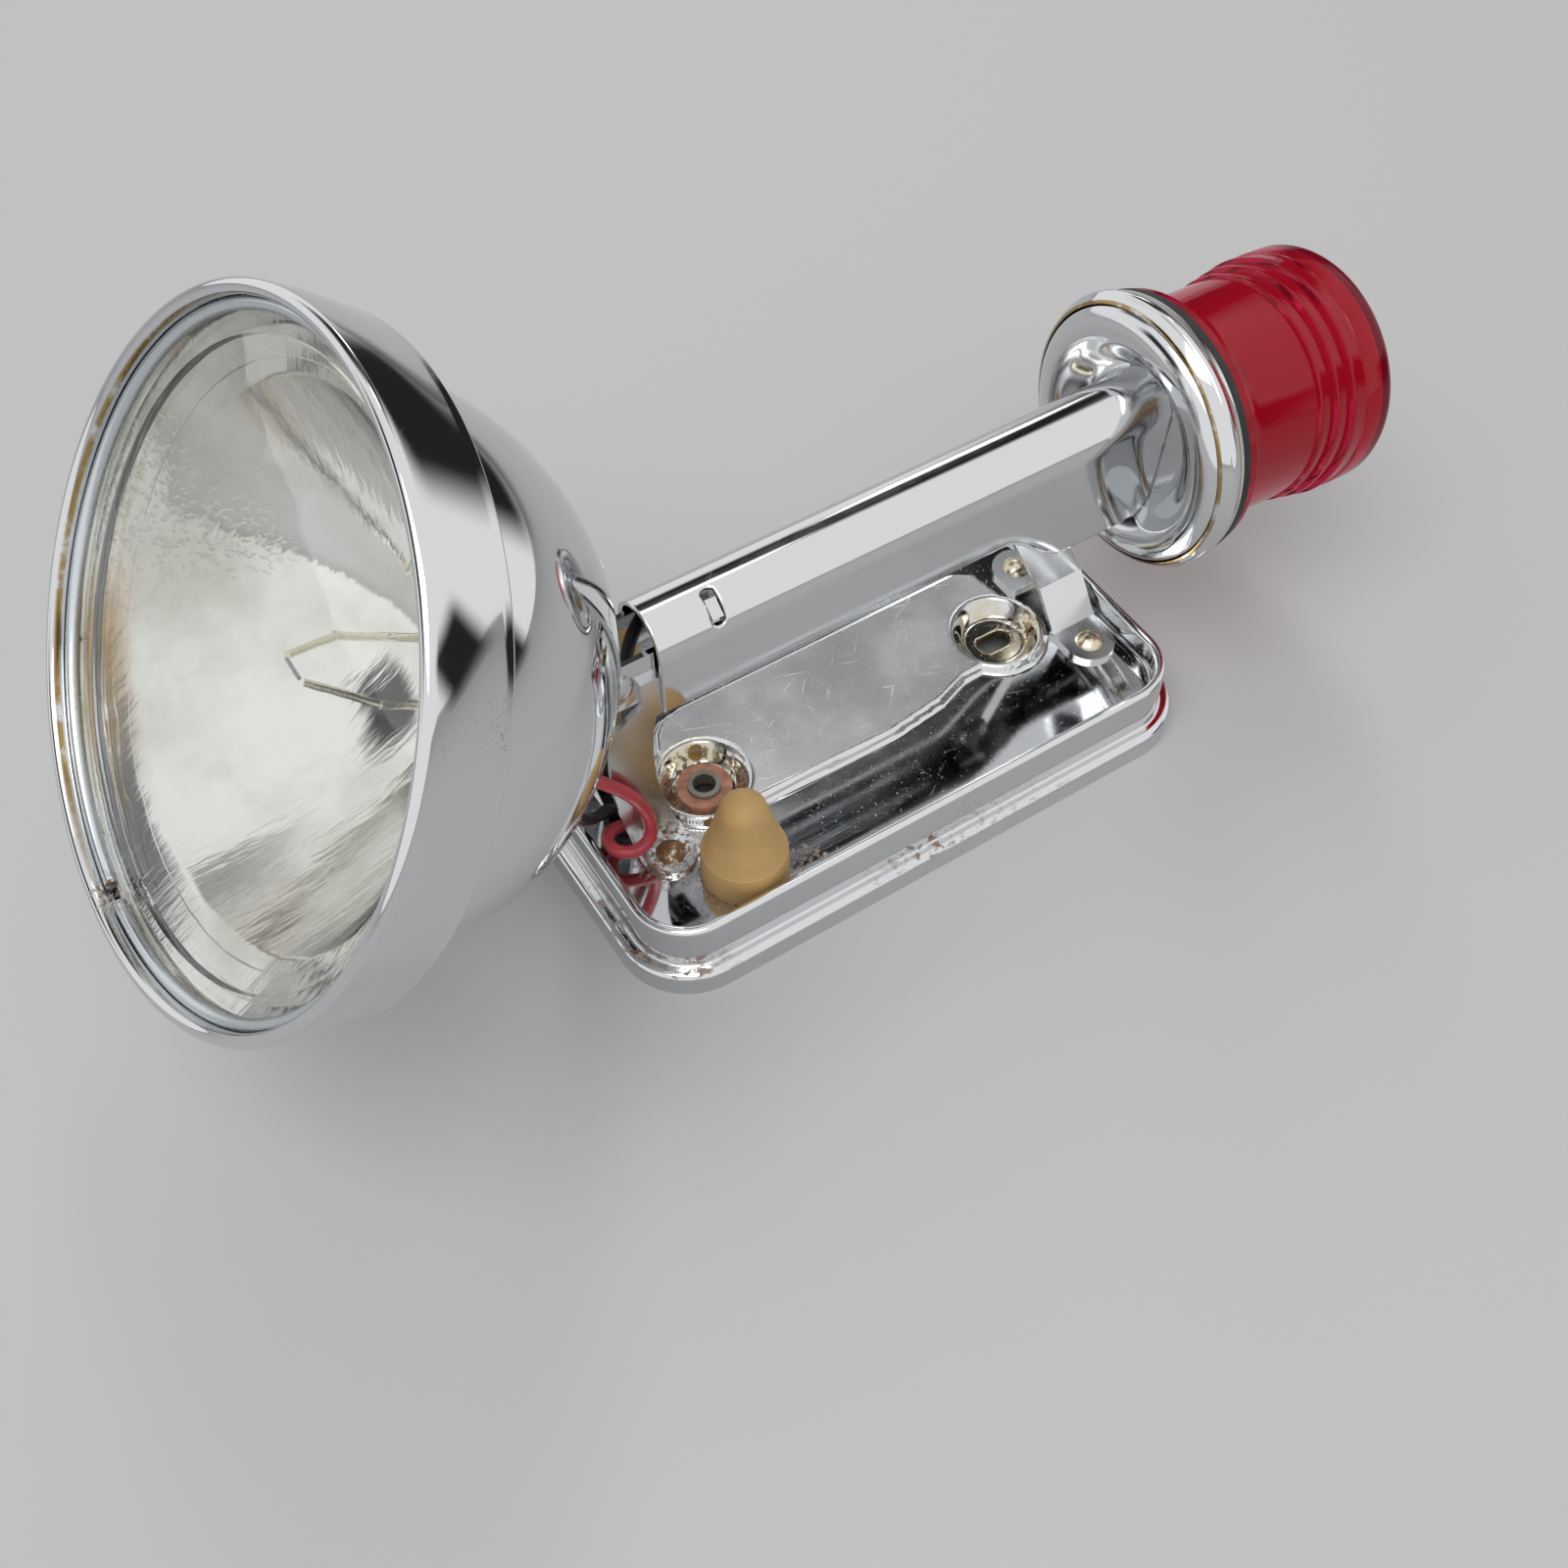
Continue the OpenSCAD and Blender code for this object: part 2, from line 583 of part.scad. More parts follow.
module post_bushing() {
    color("dimgray") translate([post_front_x, 0, 0]) difference() {
        union() {
            translate([0, 0, well_under - strip_t]) cylinder(h = strip_t, r = washer_r);
            translate([0, 0, well_under - strip_t])
                cylinder(h = strip_t + sheet + washer_t + 0.9, r = bushing_r);
        }
        cylinder(h = big, r = post_r);
    }
}

module fibre_washer() {
    color("rosybrown") translate([post_front_x, 0, well_z]) difference() {
        cylinder(h = washer_t, r = washer_r);
        translate([0, 0, -1]) cylinder(h = washer_t + 2, r = bushing_r + fit_run);
    }
}

module contact_strip() {
    dx = switch_x - post_front_x;
    run = norm([dx, switch_y]);
    color("goldenrod") translate([0, 0, strip_z]) difference() {
        linear_extrude(strip_t) {
            translate([post_front_x, 0]) circle(washer_r - 0.6);
            translate([switch_x, switch_y]) circle(strip_w / 2);
            translate([post_front_x, 0]) rotate([0, 0, atan2(switch_y, dx)])
                translate([0, -strip_w / 2]) square([run, strip_w]);
        }
        translate([post_front_x, 0, -1]) cylinder(h = 4, r = post_r + fit_run);
    }
}

module ground_washer() {
    color("goldenrod") translate([post_rear_x, 0, strip_z]) difference() {
        cylinder(h = 2 * strip_t, r = washer_r);
        for (s = [-1, 1]) translate([s * (slot_l / 2 - post_r), 0, -1]) cylinder(h = 4, r = post_r);
        translate([-slot_l / 2 + post_r, -post_r, -1]) cube([slot_l - 2 * post_r, 2 * post_r, 4]);
    }
}

module at_switch() translate([switch_x, switch_y, 0]) children();

module switch_boot() {
    tip = boot_h - boot_tip_r * 0.9;
    w = boot_wall;
    color("peru") at_switch() translate([0, 0, boot_z0]) rotate_extrude() polygon(concat(
        [[boot_r - w, 0], [boot_r, 0], [boot_r - 0.3, boot_skirt_h]],
        [for (p = arc(0, 0, 1, 8, 90, 10)) [boot_tip_r * p[0], tip + boot_tip_r * 0.9 * p[1]]],
        [for (p = arc(0, 0, 1, 90, 8, 10))
            [(boot_tip_r - w) * p[0], tip - 0.3 + (boot_tip_r * 0.9 - w) * p[1]]],
        [[boot_r - 0.3 - w, boot_skirt_h - 0.4]]
    ));
}

module switch_body() {
    color("saddlebrown") at_switch() difference() {
        union() {
            translate([0, 0, floor_z]) cylinder(h = switch_h, r = switch_r);
            translate([0, 0, tray_under - 2]) cylinder(h = sheet + 2 + eps, r = neck_r);
            translate([0, 0, strip_z + strip_t])
                cylinder(h = tray_under - 2 - strip_z - strip_t + eps, r = 1.4);
        }
        translate([0, 0, floor_z - 0.4]) cylinder(h = switch_h + 1, r = plunger_r + fit_run);
    }
}

module switch_nut() {
    color("silver") at_switch() translate([0, 0, tray_under - 1.6]) difference() {
        cylinder(h = 1.6, r = neck_r + 2.2, $fn = 6);
        translate([0, 0, -1]) cylinder(h = 4, r = neck_r + fit_run);
    }
}

module switch_plunger() {
    low = floor_z - 0.4 + plunger_travel + 0.3;
    color("black") at_switch() {
        translate([0, 0, low]) cylinder(h = boot_tip - boot_wall - 1.7 - low, r = plunger_r);
        translate([0, 0, spring_z1]) cylinder(h = 1, r = spring_mean_r + spring_wire / 2);
    }
}

module plunger_spring() {
    n = 8;
    rise = spring_z1 - spring_z0 - spring_wire - 0.1;
    path = [
        for (i = [0:n * spring_turns])
            [spring_mean_r * cos(360 * i / n), spring_mean_r * sin(360 * i / n),
             spring_z0 + spring_wire / 2 + 0.05 + rise * i / (n * spring_turns)]
    ];
    gaps = [
        for (i = [0:len(path) - 1]) for (k = [i + n / 2:len(path) - 1])
            norm(path[k] - path[i]) - spring_wire
    ];
    echo(least_spring_gap = min(gaps));
    color("gray") at_switch() tube(path, spring_wire / 2, 6);
}

// Foot and leg of one bracket, on the far side, with the leg's outline seen from the side.
module bracket_side(foot_x, foot_y, w, outline) {
    bracket_foot(foot_x, foot_y, w, leg_y0);
    upright(leg_y0, leg_y1) polygon(outline);
}
// A strip's round-ended foot with its rivet hole, out from a bend.
module bracket_foot(foot_x, foot_y, w, bend_y) {
    translate([foot_x, foot_y, floor_z]) difference() {
        union() {
            cylinder(h = strip_thick, r = w / 2);
            translate([-w / 2, bend_y - foot_y, 0]) cube([w, foot_y - bend_y, strip_thick]);
        }
        translate([0, 0, -1]) cylinder(h = 4, r = rivet_r + fit_run);
    }
}

// The legs lean to the lamp, narrow above the feet and end in tabs inside the handle.
module front_bracket() {
    w = front_foot_w;
    rise = handle_low_z - floor_z;
    lean = [[0, 0], [0.24, 0.52], [0.5, 0.95], [0.7, 1], [0.88, 0.89], [0.975, 0.71]];
    rear_edge = [for (p = lean) [front_foot_x + w / 2 - p[1] * front_lean, floor_z + p[0] * rise]];
    lamp_edge = [
        for (i = [len(lean) - 1:-1:0]) let (p = lean[i])
            [front_foot_x - w / 2 - p[1] * front_lean * 0.7, floor_z + p[0] * rise]
    ];
    tab_x = pivot_x + pivot_r + 1.7 + 0.6;
    tab = [
        [front_top_x, handle_low_z + 0.8], [front_top_x, pivot_z], [tab_x, pivot_z],
        [tab_x, arm_low_z - 0.2]
    ];
    color("silver") {
        both_sides() bracket_side(front_foot_x, front_foot_y, w, concat(rear_edge, tab, lamp_edge));
        translate([arm_web_x, -leg_y0 - eps, arm_low_z - strip_thick])
            cube([front_top_x - arm_web_x, 2 * leg_y0 + 2 * eps, strip_thick]);
    }
}

// Two strips lean in from the feet and stand back to back as a stem that carries a channel in the handle.
module rear_bracket() {
    w = rear_foot_w;
    run = rear_bend_y - strip_thick;
    rise = rear_fork_z - foot_top;
    slant = strip_thick * norm([run, rise]) / rise;
    crotch_z = rear_fork_z + (strip_thick - slant) * rise / run;
    knee_z = lobe_low_z + 1.5;
    color("silver") {
        both_sides() {
            bracket_foot(rear_foot_x, rear_foot_y, w, rear_bend_y - slant);
            translate([rear_foot_x - w / 2, 0, 0]) rotate([90, 0, 90]) linear_extrude(w) polygon([
                [rear_bend_y - slant, floor_z], [rear_bend_y, floor_z], [rear_bend_y, foot_top],
                [strip_thick, rear_fork_z], [-eps, rear_fork_z], [-eps, crotch_z], [0, crotch_z],
                [rear_bend_y - slant, foot_top]
            ]);
            translate([rear_leg_x - w / 2, leg_y0, rear_top_z - rear_tab]) cube([w, strip_thick, rear_tab]);
        }
        upright(-strip_thick, strip_thick) polygon([
            [rear_foot_x - w / 2, crotch_z], [rear_foot_x + w / 2, crotch_z], [rear_foot_x + w / 2, rear_fork_z],
            [rear_leg_x + w / 2, knee_z], [rear_leg_x + w / 2, rear_top_z - eps],
            [rear_leg_x - w / 2, rear_top_z - eps], [rear_leg_x - w / 2, knee_z],
            [rear_foot_x - w / 2, rear_fork_z]
        ]);
        translate([rear_leg_x - w / 2, -leg_y0 - eps, rear_top_z - strip_thick])
            cube([w, 2 * leg_y0 + 2 * eps, strip_thick]);
    }
}

module bracket_rivets() {
    color("tan") foot_places() {
        translate([0, 0, foot_top]) dome_head(rivet_head_r, rivet_head_h);
        translate([0, 0, tray_under - 0.8]) cylinder(h = foot_top - tray_under + 0.8 + eps, r = rivet_r);
        translate([0, 0, tray_under - 0.8]) cylinder(h = 0.8, r = rivet_head_r);
    }
}

// Inverted channel section with a round crown, drawn in by a margin.
module channel_plan(m) {
    translate([0, crown_z]) circle(handle_w / 2 - m);
    translate([m - handle_w / 2, handle_low_z - (m > 0 ? 1 : 0)])
        square([handle_w - 2 * m, crown_z - handle_low_z + (m > 0 ? 1 : 0)]);
}

module handle() {
    reach = cup_x + 14 - handle_front_x;
    n = 10;
    curve = [
        for (i = [0:n]) let (s = i / n)
            [lobe_start_x + s * (lobe_full_x - lobe_start_x),
             handle_low_z - (handle_low_z - lobe_low_z) * (1 - cos(180 * s)) / 2]
    ];
    color("silver") difference() {
        union() {
            translate([handle_front_x, 0, 0]) rotate([90, 0, 90]) linear_extrude(reach) difference() {
                channel_plan(0);
                channel_plan(sheet);
            }
            both_sides() upright(handle_w / 2 - sheet, handle_w / 2) polygon(concat(
                curve,
                [[cup_x + 14, lobe_low_z], [cup_x + 14, handle_low_z + 3], [lobe_start_x, handle_low_z + 3]]
            ));
        }
        at_flasher() rotate_extrude() polygon(concat(
            [[0, dish_floor]], [for (p = cup_back) [p[0], p[1] - fit_run]],
            [[big / 2, dish_floor - dish_depth], [big / 2, 60], [0, 60]]
        ));
        translate([tongue_x, 0, crown_z]) rotate([40, 0, 0]) {
            for (s = [-1, 1]) translate([0, s * (tongue_slot_l - tongue_slot_w) / 2, 3])
                cylinder(h = 10, r = tongue_slot_w / 2);
            translate([-tongue_slot_w / 2, (tongue_slot_w - tongue_slot_l) / 2, 3])
                cube([tongue_slot_w, tongue_slot_l - tongue_slot_w, 10]);
        }
    }
}

module head_arm() {
    color("silver") {
        both_sides() upright(arm_y0, arm_y1) difference() {
            union() {
                translate([pivot_x, pivot_z]) circle(arm_half_h);
                translate([pivot_x, arm_low_z]) square([arm_rear_x - pivot_x, 2 * arm_half_h]);
            }
            translate([pivot_x, pivot_z]) circle(pivot_r + fit_run);
        }
        translate([arm_web_x, -arm_y0 - eps, arm_low_z])
            cube([arm_rear_x - arm_web_x, 2 * arm_y0 + 2 * eps, strip_thick]);
        translate([tongue_x - tongue_slot_w / 2 + 0.3, 0.4 - arm_y1, pivot_z + arm_half_h - 3])
            cube([tongue_slot_w - 0.6, 2, crown_z + 3.6 - pivot_z - arm_half_h + 3]);
        translate([tongue_x, 0, crown_z]) rotate([40, 0, 0])
            translate([0.3 - tongue_slot_w / 2, -2.4, handle_w / 2 - 5]) cube([tongue_slot_w - 0.6, 4, 4.4]);
    }
}

module pivot_pin() {
    color("tan") translate([pivot_x, 0, pivot_z]) {
        rotate([90, 0, 0]) cylinder(h = 2 * arm_y1 + 2 * eps, r = pivot_r, center = true);
        both_sides() translate([0, arm_y1, 0]) rotate([-90, 0, 0]) dome_head(pivot_r + 1.7, 1.6);
    }
}

module friction_washers() {
    color("gray") both_sides() translate([pivot_x, ear_y1, pivot_z]) rotate([-90, 0, 0]) difference() {
        cylinder(h = friction_t, r = ear_r - 0.4);
        translate([0, 0, -1]) cylinder(h = 3, r = pivot_r + fit_run);
    }
}

module head_hinge() {
    pad = bowl_back - strip_thick;
    gap = 0.15;
    color("silver") at_head() difference() {
        union() {
            both_sides() translate([0, ear_y1, 0]) rotate([90, 0, 0]) {
                cylinder(h = strip_thick, r = ear_r);
                translate([-ear_r, 0, 0]) cube([2 * ear_r, pad + eps, strip_thick]);
            }
            translate([0, 0, pad]) cylinder(h = strip_thick, r = bowl_flat_r - 0.4);
            intersection() {
                rotate_extrude() polygon(concat(
                    ellipse(bowl_r + gap, bowl_depth + gap, bowl_flat_a * 0.9, asin(lug_reach_r / bowl_r), 8),
                    rev([for (p = ellipse(bowl_r + gap + strip_thick, bowl_depth + gap + strip_thick,
                                          bowl_flat_a * 0.9, asin(lug_reach_r / bowl_r), 8)) p])
                ));
                translate([0, -lug_half_w, -10]) cube([big, 2 * lug_half_w, big]);
            }
        }
        rotate([90, 0, 0]) cylinder(h = big, r = pivot_r + fit_run, center = true);
        for (s = [-1, 1]) translate([0, s * 8, 0]) cylinder(h = big, r = 1.5 + fit_run);
    }
}

module hinge_rivets() {
    pad = bowl_back - strip_thick;
    color("tan") at_head() for (s = [-1, 1]) translate([0, s * 8, 0]) {
        translate([0, 0, pad]) rotate([180, 0, 0]) dome_head(2.4, 1.2);
        translate([0, 0, pad - eps]) cylinder(h = strip_thick + sheet + 0.8 + eps, r = 1.5);
        translate([0, 0, bowl_back + sheet]) cylinder(h = 0.8, r = 2.4);
    }
}

module head_bowl() {
    n = 24;
    color("silver") at_head() difference() {
        rotate_extrude() polygon(concat(
            [[0, bowl_back]],
            ellipse(bowl_r, bowl_depth, bowl_flat_a, 90, n),
            [[bowl_r, flange_z0], [flange_r, flange_z0], [flange_r, flange_z1], [bowl_r - sheet, flange_z1]],
            rev(ellipse(bowl_r - sheet, bowl_depth - sheet, bowl_flat_a, 90, n)),
            [[0, bowl_mid - (bowl_depth - sheet) * cos(bowl_flat_a)]]
        ));
        for (s = [-1, 1]) translate([0, s * 8, 0]) cylinder(h = bowl_back + 4, r = 1.5 + fit_run);
        translate([-bowl_hole_x, 0, 0]) cylinder(h = bowl_mid / 2, r = bowl_hole_r);
    }
}

module head_rim() {
    lip = rim_lip;
    color("silver") at_head() rotate_extrude() polygon(concat(
        [[rim_rear_r - 2, rim_rear + 0.5], [rim_rear_r - 1.6, rim_rear], [rim_rear_r - 0.5, rim_rear]],
        [[rim_rear_r, rim_rear + 0.5], [rim_rear_r, rim_rear + 1.4]],
        [for (i = [0:6]) [rim_rear_r + (rim_r - rim_rear_r) * sin(15 * i),
                          rim_rear + 1.4 + (rim_depth - 1.4 - lip) * i / 6]],
        arc(rim_r - lip, rim_front - lip, lip, 10, 180, 12),
        [[rim_open_r, ring_z1], [rim_r - 0.4 - sheet, ring_z1]],
        [[rim_rear_r - sheet, flange_z1 + 1], [rim_rear_r - sheet, flange_z0], [rim_rear_r - 2, flange_z0]]
    ));
}

module lamp_seat() {
    color("slategray") at_head() translate([0, 0, flange_z1]) difference() {
        cylinder(h = seat_t, r = lamp_r - 0.5);
        translate([0, 0, -1]) cylinder(h = seat_t + 2, r = bowl_r - sheet + 0.4);
    }
}

module lamp_reflector() {
    n = 16;
    color("gainsboro") at_head() rotate_extrude() polygon(concat(
        [for (i = [0:n]) let (r = reflector_rim_r * i / n) [r, reflector_back + r * r / parabola]],
        [[lamp_r, seat_z1], [lamp_r, lens_z0]],
        [for (i = [n:-1:0]) let (r = (reflector_rim_r - glass_wall) * i / n)
            [r, reflector_back + glass_wall + r * r / parabola]]
    ));
}

module lamp_lens() {
    n = 10;
    edge = lamp_r - 3;
    color("lightcyan") at_head() rotate_extrude() polygon(concat(
        [[0, lens_z1 + lens_rise - glass_wall]],
        [for (i = [1:n]) let (s = i / n) [(edge - 1) * s, lens_z1 - glass_wall + lens_rise * (1 - s * s)]],
        [[edge - 1, lens_z0], [lamp_r, lens_z0], [lamp_r, lens_z1]],
        [for (i = [n:-1:0]) let (s = i / n) [edge * s, lens_z1 + lens_rise * (1 - s * s)]]
    ));
}

module retaining_ring() {
    color("lightslategray") at_head() difference() {
        translate([0, 0, lens_z1 + ring_wire / 2 + fit_run]) rotate_extrude()
            translate([ring_mid_r, 0]) circle(ring_wire / 2);
        rotate([0, 0, ring_gap_angle]) translate([0, -ring_gap / 2, lens_z1 - 1])
            cube([big, ring_gap, ring_wire + 2]);
    }
}

module filament_posts() {
    r = filament_post_r;
    knee = filament_z - 12;
    lean = atan2(terminal_y - filament_post_y, filament_z - knee);
    color("goldenrod") at_head() both_sides() translate([0, terminal_y, 0]) {
        translate([0, 0, post_foot_z]) cylinder(h = knee - post_foot_z, r = r, $fn = 24);
        translate([0, 0, knee - 0.5]) rotate([lean, 0, 0])
            cylinder(h = norm([terminal_y - filament_post_y, filament_z - knee]), r = 0.9 * r, $fn = 24);
    }
}

module filament() {
    color("white") at_head() translate([0, 0, filament_z]) rotate([90, 0, 0])
        cylinder(h = 2 * (filament_post_y - filament_post_r) - 0.2, r = 0.35, center = true, $fn = 24);
}

module lamp_terminals() {
    color("goldenrod") at_head() both_sides() translate([-blade_w / 2, terminal_y - blade_t / 2, blade_low])
        cube([blade_w, blade_t, blade_top - blade_low]);
}

module spade_connectors() {
    w = blade_w + 1.4;
    color("silver") at_head() both_sides() translate([0, terminal_y, 0]) difference() {
        translate([-w / 2, -1.5, blade_low - 0.8]) cube([w, 3, 7]);
        translate([-blade_w / 2 - fit_run, -blade_t / 2 - fit_run, blade_low - fit_run])
            cube([blade_w + 2 * fit_run, blade_t + 2 * fit_run, 20]);
    }
}

module tray_grommet() {
    neck = grommet_r + grommet_wall / 2;
    color("black") translate([grommet_x, 0, tray_under]) difference() {
        union() {
            cylinder(h = sheet + eps, r = neck);
            translate([0, 0, sheet]) cylinder(h = 1, r = grommet_r + grommet_wall);
        }
        translate([0, 0, -1]) cylinder(h = 5, r = grommet_r);
    }
}

module lead_red() {
    color("crimson") tube(spline(red_route, 2), lead_r, 8);
}

module lead_black() {
    color("black") tube(spline(black_route, 2), lead_r, 8);
}

module lead_flasher() {
    color("black") tube(spline(flasher_route, 1), lead_r, 8);
}

module flasher_cup() {
    crest = dish_floor - dish_depth;
    color("silver") at_flasher() difference() {
        rotate_extrude() polygon(concat(
            [[0, dish_floor]], cup_back,
            [for (a = [280:10:360]) [crest_r + crest_w * cos(a), crest + crest_h * (1 + sin(a))]],
            [[cup_r, clamp_depth - sheet - 0.4], [cup_r - sheet, clamp_depth - sheet - 0.4]],
            [for (a = [360:-10:280])
                [crest_r + (crest_w - sheet) * cos(a), crest + crest_h + (crest_h - sheet) * sin(a)]],
            rev([for (p = cup_back) [p[0], p[1] + sheet]]),
            [[0, dish_floor + sheet]]
        ));
        cylinder(h = big, r = lead_r + 0.5, center = true);
        for (s = [-1, 1]) translate([s * 8.5, 0, 0]) cylinder(h = big, r = 1.5 + fit_run, center = true);
    }
}

module cup_plate() {
    side = leg_y1 - fit_run;
    color("silver") at_flasher() difference() {
        translate([0, 0, cup_plate_z]) linear_extrude(strip_thick) polygon([
            [-10.5, -side + 1.2], [-6.5, -side], [10.8, -side], [10.8, side], [-6.5, side], [-10.5, side - 1.2]
        ]);
        cylinder(h = big, r = lead_r + 0.5, center = true);
        for (s = [-1, 1]) translate([s * 8.5, 0, 0]) cylinder(h = big, r = 1.5 + fit_run, center = true);
    }
}

module cup_rivets() {
    color("tan") at_flasher() for (s = [-1, 1]) translate([s * 8.5, 0, 0]) {
        translate([0, 0, cup_plate_z]) rotate([180, 0, 0]) dome_head(2.4, 1.2);
        translate([0, 0, cup_plate_z - eps]) cylinder(h = strip_thick + sheet + 0.8 + eps, r = 1.5);
        translate([0, 0, dish_floor + sheet]) cylinder(h = 0.8, r = 2.4);
    }
}

module clamp_ring() {
    r0 = cup_r + fit_run;
    color("silver") at_flasher() rotate_extrude() polygon(concat(
        [[r0, 0.3], [r0 + 0.7, 0.6]],
        arc(clamp_r - 1.2, clamp_depth / 2, 1.2, -40, 40, 6),
        [[clamp_r - 0.8, clamp_depth - 0.6], [clamp_r - 1.2, clamp_depth]],
        [[clamp_in_r, clamp_depth], [clamp_in_r, clamp_depth - sheet], [r0, clamp_depth - sheet]]
    ));
}

module lens_gasket() {
    color("black") at_flasher() translate([0, 0, gasket_z0]) difference() {
        cylinder(h = gasket_t, r = red_flange_r + 0.6);
        translate([0, 0, -1]) cylinder(h = gasket_t + 2, r = red_neck_r + fit_loose);
    }
}

module red_lens() {
    w = red_wall;
    b = red_barrel_r;
    step = red_step;
    q = red_end_r;
    z = red_z1;
    e = red_end;
    color("firebrick") at_flasher() rotate_extrude() polygon(concat(
        [[red_neck_r - w, gasket_z0 - 4], [red_neck_r, gasket_z0 - 4]],
        [[red_neck_r, red_z0], [red_flange_r, red_z0]],
        [[red_flange_r, z - 0.6], [red_flange_r - 0.6, z]],
        [[b + 1.2, z + 0.8], [b + 0.3, z + 2.4], [b, z + 5], [b, e - 20]],
        [[b + step, e - 19.6], [b + step, e - 16], [b + 2 * step, e - 15.6], [b + 2 * step, e - 12]],
        [[b + 3 * step, e - 11.6], [b + 3 * step, e - 8]],
        arc(b + 3 * step - q, e - q, q, 0, 90, 10),
        [[0, e], [0, e - w]],
        arc(b + 3 * step - q, e - q, q - w, 90, 0, 10),
        [[b + 3 * step - w, e - 9], [b - w, e - 20.4], [b - w, z - 1]]
    ));
}

module bulb_socket() {
    r = bulb_base_r + fit_run;
    color("goldenrod") at_flasher() translate([0, 0, socket_z0]) difference() {
        union() {
            cylinder(h = socket_h, r = r + socket_wall);
            cylinder(h = 0.8, r = r + socket_wall + 1);
        }
        translate([0, 0, 4]) cylinder(h = socket_h, r = r);
        translate([0, 0, -1]) cylinder(h = 7, r = 1.5);
        for (s = [-1, 1]) translate([s * 8.5, 0, -1]) cylinder(h = 3, r = 2.4 + fit_loose);
    }
}

module bulb_base() {
    color("gold") at_flasher() translate([0, 0, socket_z0 + 4]) {
        cylinder(h = socket_h - 4, r = bulb_base_r);
        translate([0, 0, socket_h - 4]) cylinder(h = 1, r = bulb_base_r + socket_wall);
    }
}

module bulb_glass() {
    color("lightcyan") at_flasher() translate([0, 0, socket_z0 + socket_h + 1]) rotate_extrude() polygon(concat(
        [[0, 0], [bulb_base_r - 0.8, 0]],
        arc(0, bulb_r + 2.2, bulb_r, -45, 90, 14)
    ));
}

// Puts a piece into the lantern's own frame.
module place() translate([frame_x, 0, 0]) children();

place() base_plate();
place() post_bushing();
place() fibre_washer();
place() contact_strip();
place() ground_washer();
place() switch_boot();
place() switch_body();
place() switch_nut();
place() switch_plunger();
place() plunger_spring();
place() front_bracket();
place() rear_bracket();
place() bracket_rivets();
place() handle();
place() head_arm();
place() pivot_pin();
place() friction_washers();
place() head_hinge();
place() hinge_rivets();
place() head_bowl();
place() head_rim();
place() lamp_seat();
place() lamp_reflector();
place() lamp_lens();
place() retaining_ring();
place() filament_posts();
place() filament();
place() lamp_terminals();
place() spade_connectors();
place() tray_grommet();
place() lead_red();
place() lead_black();
place() lead_flasher();
place() flasher_cup();
place() cup_plate();
place() cup_rivets();
place() clamp_ring();
place() lens_gasket();
place() red_lens();
place() bulb_socket();
place() bulb_base();
place() bulb_glass();
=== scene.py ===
"""Looks of a chrome sealed beam lantern: sheet, glass, rubber and leads on the CAD frame."""

import math

import bpy
import numpy as np
from mathutils import Matrix, Vector


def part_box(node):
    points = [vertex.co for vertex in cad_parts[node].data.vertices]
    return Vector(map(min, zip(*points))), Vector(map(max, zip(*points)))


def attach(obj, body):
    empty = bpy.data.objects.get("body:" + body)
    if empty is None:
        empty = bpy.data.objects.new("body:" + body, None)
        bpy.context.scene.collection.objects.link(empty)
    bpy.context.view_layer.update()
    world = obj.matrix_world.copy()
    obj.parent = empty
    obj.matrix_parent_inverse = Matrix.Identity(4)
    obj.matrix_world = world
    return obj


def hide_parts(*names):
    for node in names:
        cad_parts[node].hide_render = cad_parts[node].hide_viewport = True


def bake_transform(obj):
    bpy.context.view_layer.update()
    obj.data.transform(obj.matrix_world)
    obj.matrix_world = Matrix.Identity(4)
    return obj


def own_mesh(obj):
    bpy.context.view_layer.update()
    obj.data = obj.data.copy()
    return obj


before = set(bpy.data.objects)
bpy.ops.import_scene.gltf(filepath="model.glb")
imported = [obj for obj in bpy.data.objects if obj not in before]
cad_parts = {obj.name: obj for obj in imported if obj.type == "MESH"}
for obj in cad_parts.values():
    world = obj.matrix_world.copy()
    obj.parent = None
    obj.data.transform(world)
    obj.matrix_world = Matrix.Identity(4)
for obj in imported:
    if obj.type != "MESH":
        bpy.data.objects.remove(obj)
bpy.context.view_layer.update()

# Driving sizes in millimetres, measured from the middle of the base cap
MM = 0.001
SHEET, FIT_RUN, FIT_LOOSE = 0.9, 0.05, 0.2
CAP_L, CAP_W, CAP_R = 140.0, 78.0, 16.0
SKIRT_H, SHOULDER_R, WALL_INSET, WALL_FILLET = 6.0, 1.8, 3.2, 0.8
RIDGE_Z, RIDGE_R = 17.6, 1.2
FLOOR_Z, FLOOR_FILLET = 11.2, 0.8
PLATEAU_H, PLATEAU_NEAR, PLATEAU_FAR = 2.2, 12.0, 20.0
POST_FRONT_X, POST_REAR_X, POST_R, SLOT_L = -36.0, 41.0, 2.5, 8.6
WELL_R, WELL_FLOOR_R, WELL_DEPTH = 10.5, 7.0, 4.1
COLLAR_FRONT, COLLAR_REAR = 0.9, 1.0
BUSHING_HOLE_R, GROMMET_HOLE_R, SWITCH_HOLE_R = 3.65, 4.65, 4.7
GROMMET_X, FRONT_FOOT_X, FRONT_FOOT_Y = -54.5, -51.4, -12.2
SWITCH_X, SWITCH_Y, SWITCH_H, TRAVEL = -40.3, -23.3, 8.0, 3.0
BOOT_R, BOOT_SKIRT, BOOT_H, BOOT_WALL = 9.2, 8.0, 24.3, 1.6
BOOT_TIP_R, BOOT_DOME = 5.0, 0.9
PLUNGER_R, SPRING_H, SPRING_WIRE, SPRING_TURNS = 2.6, 6.0, 0.8, 3
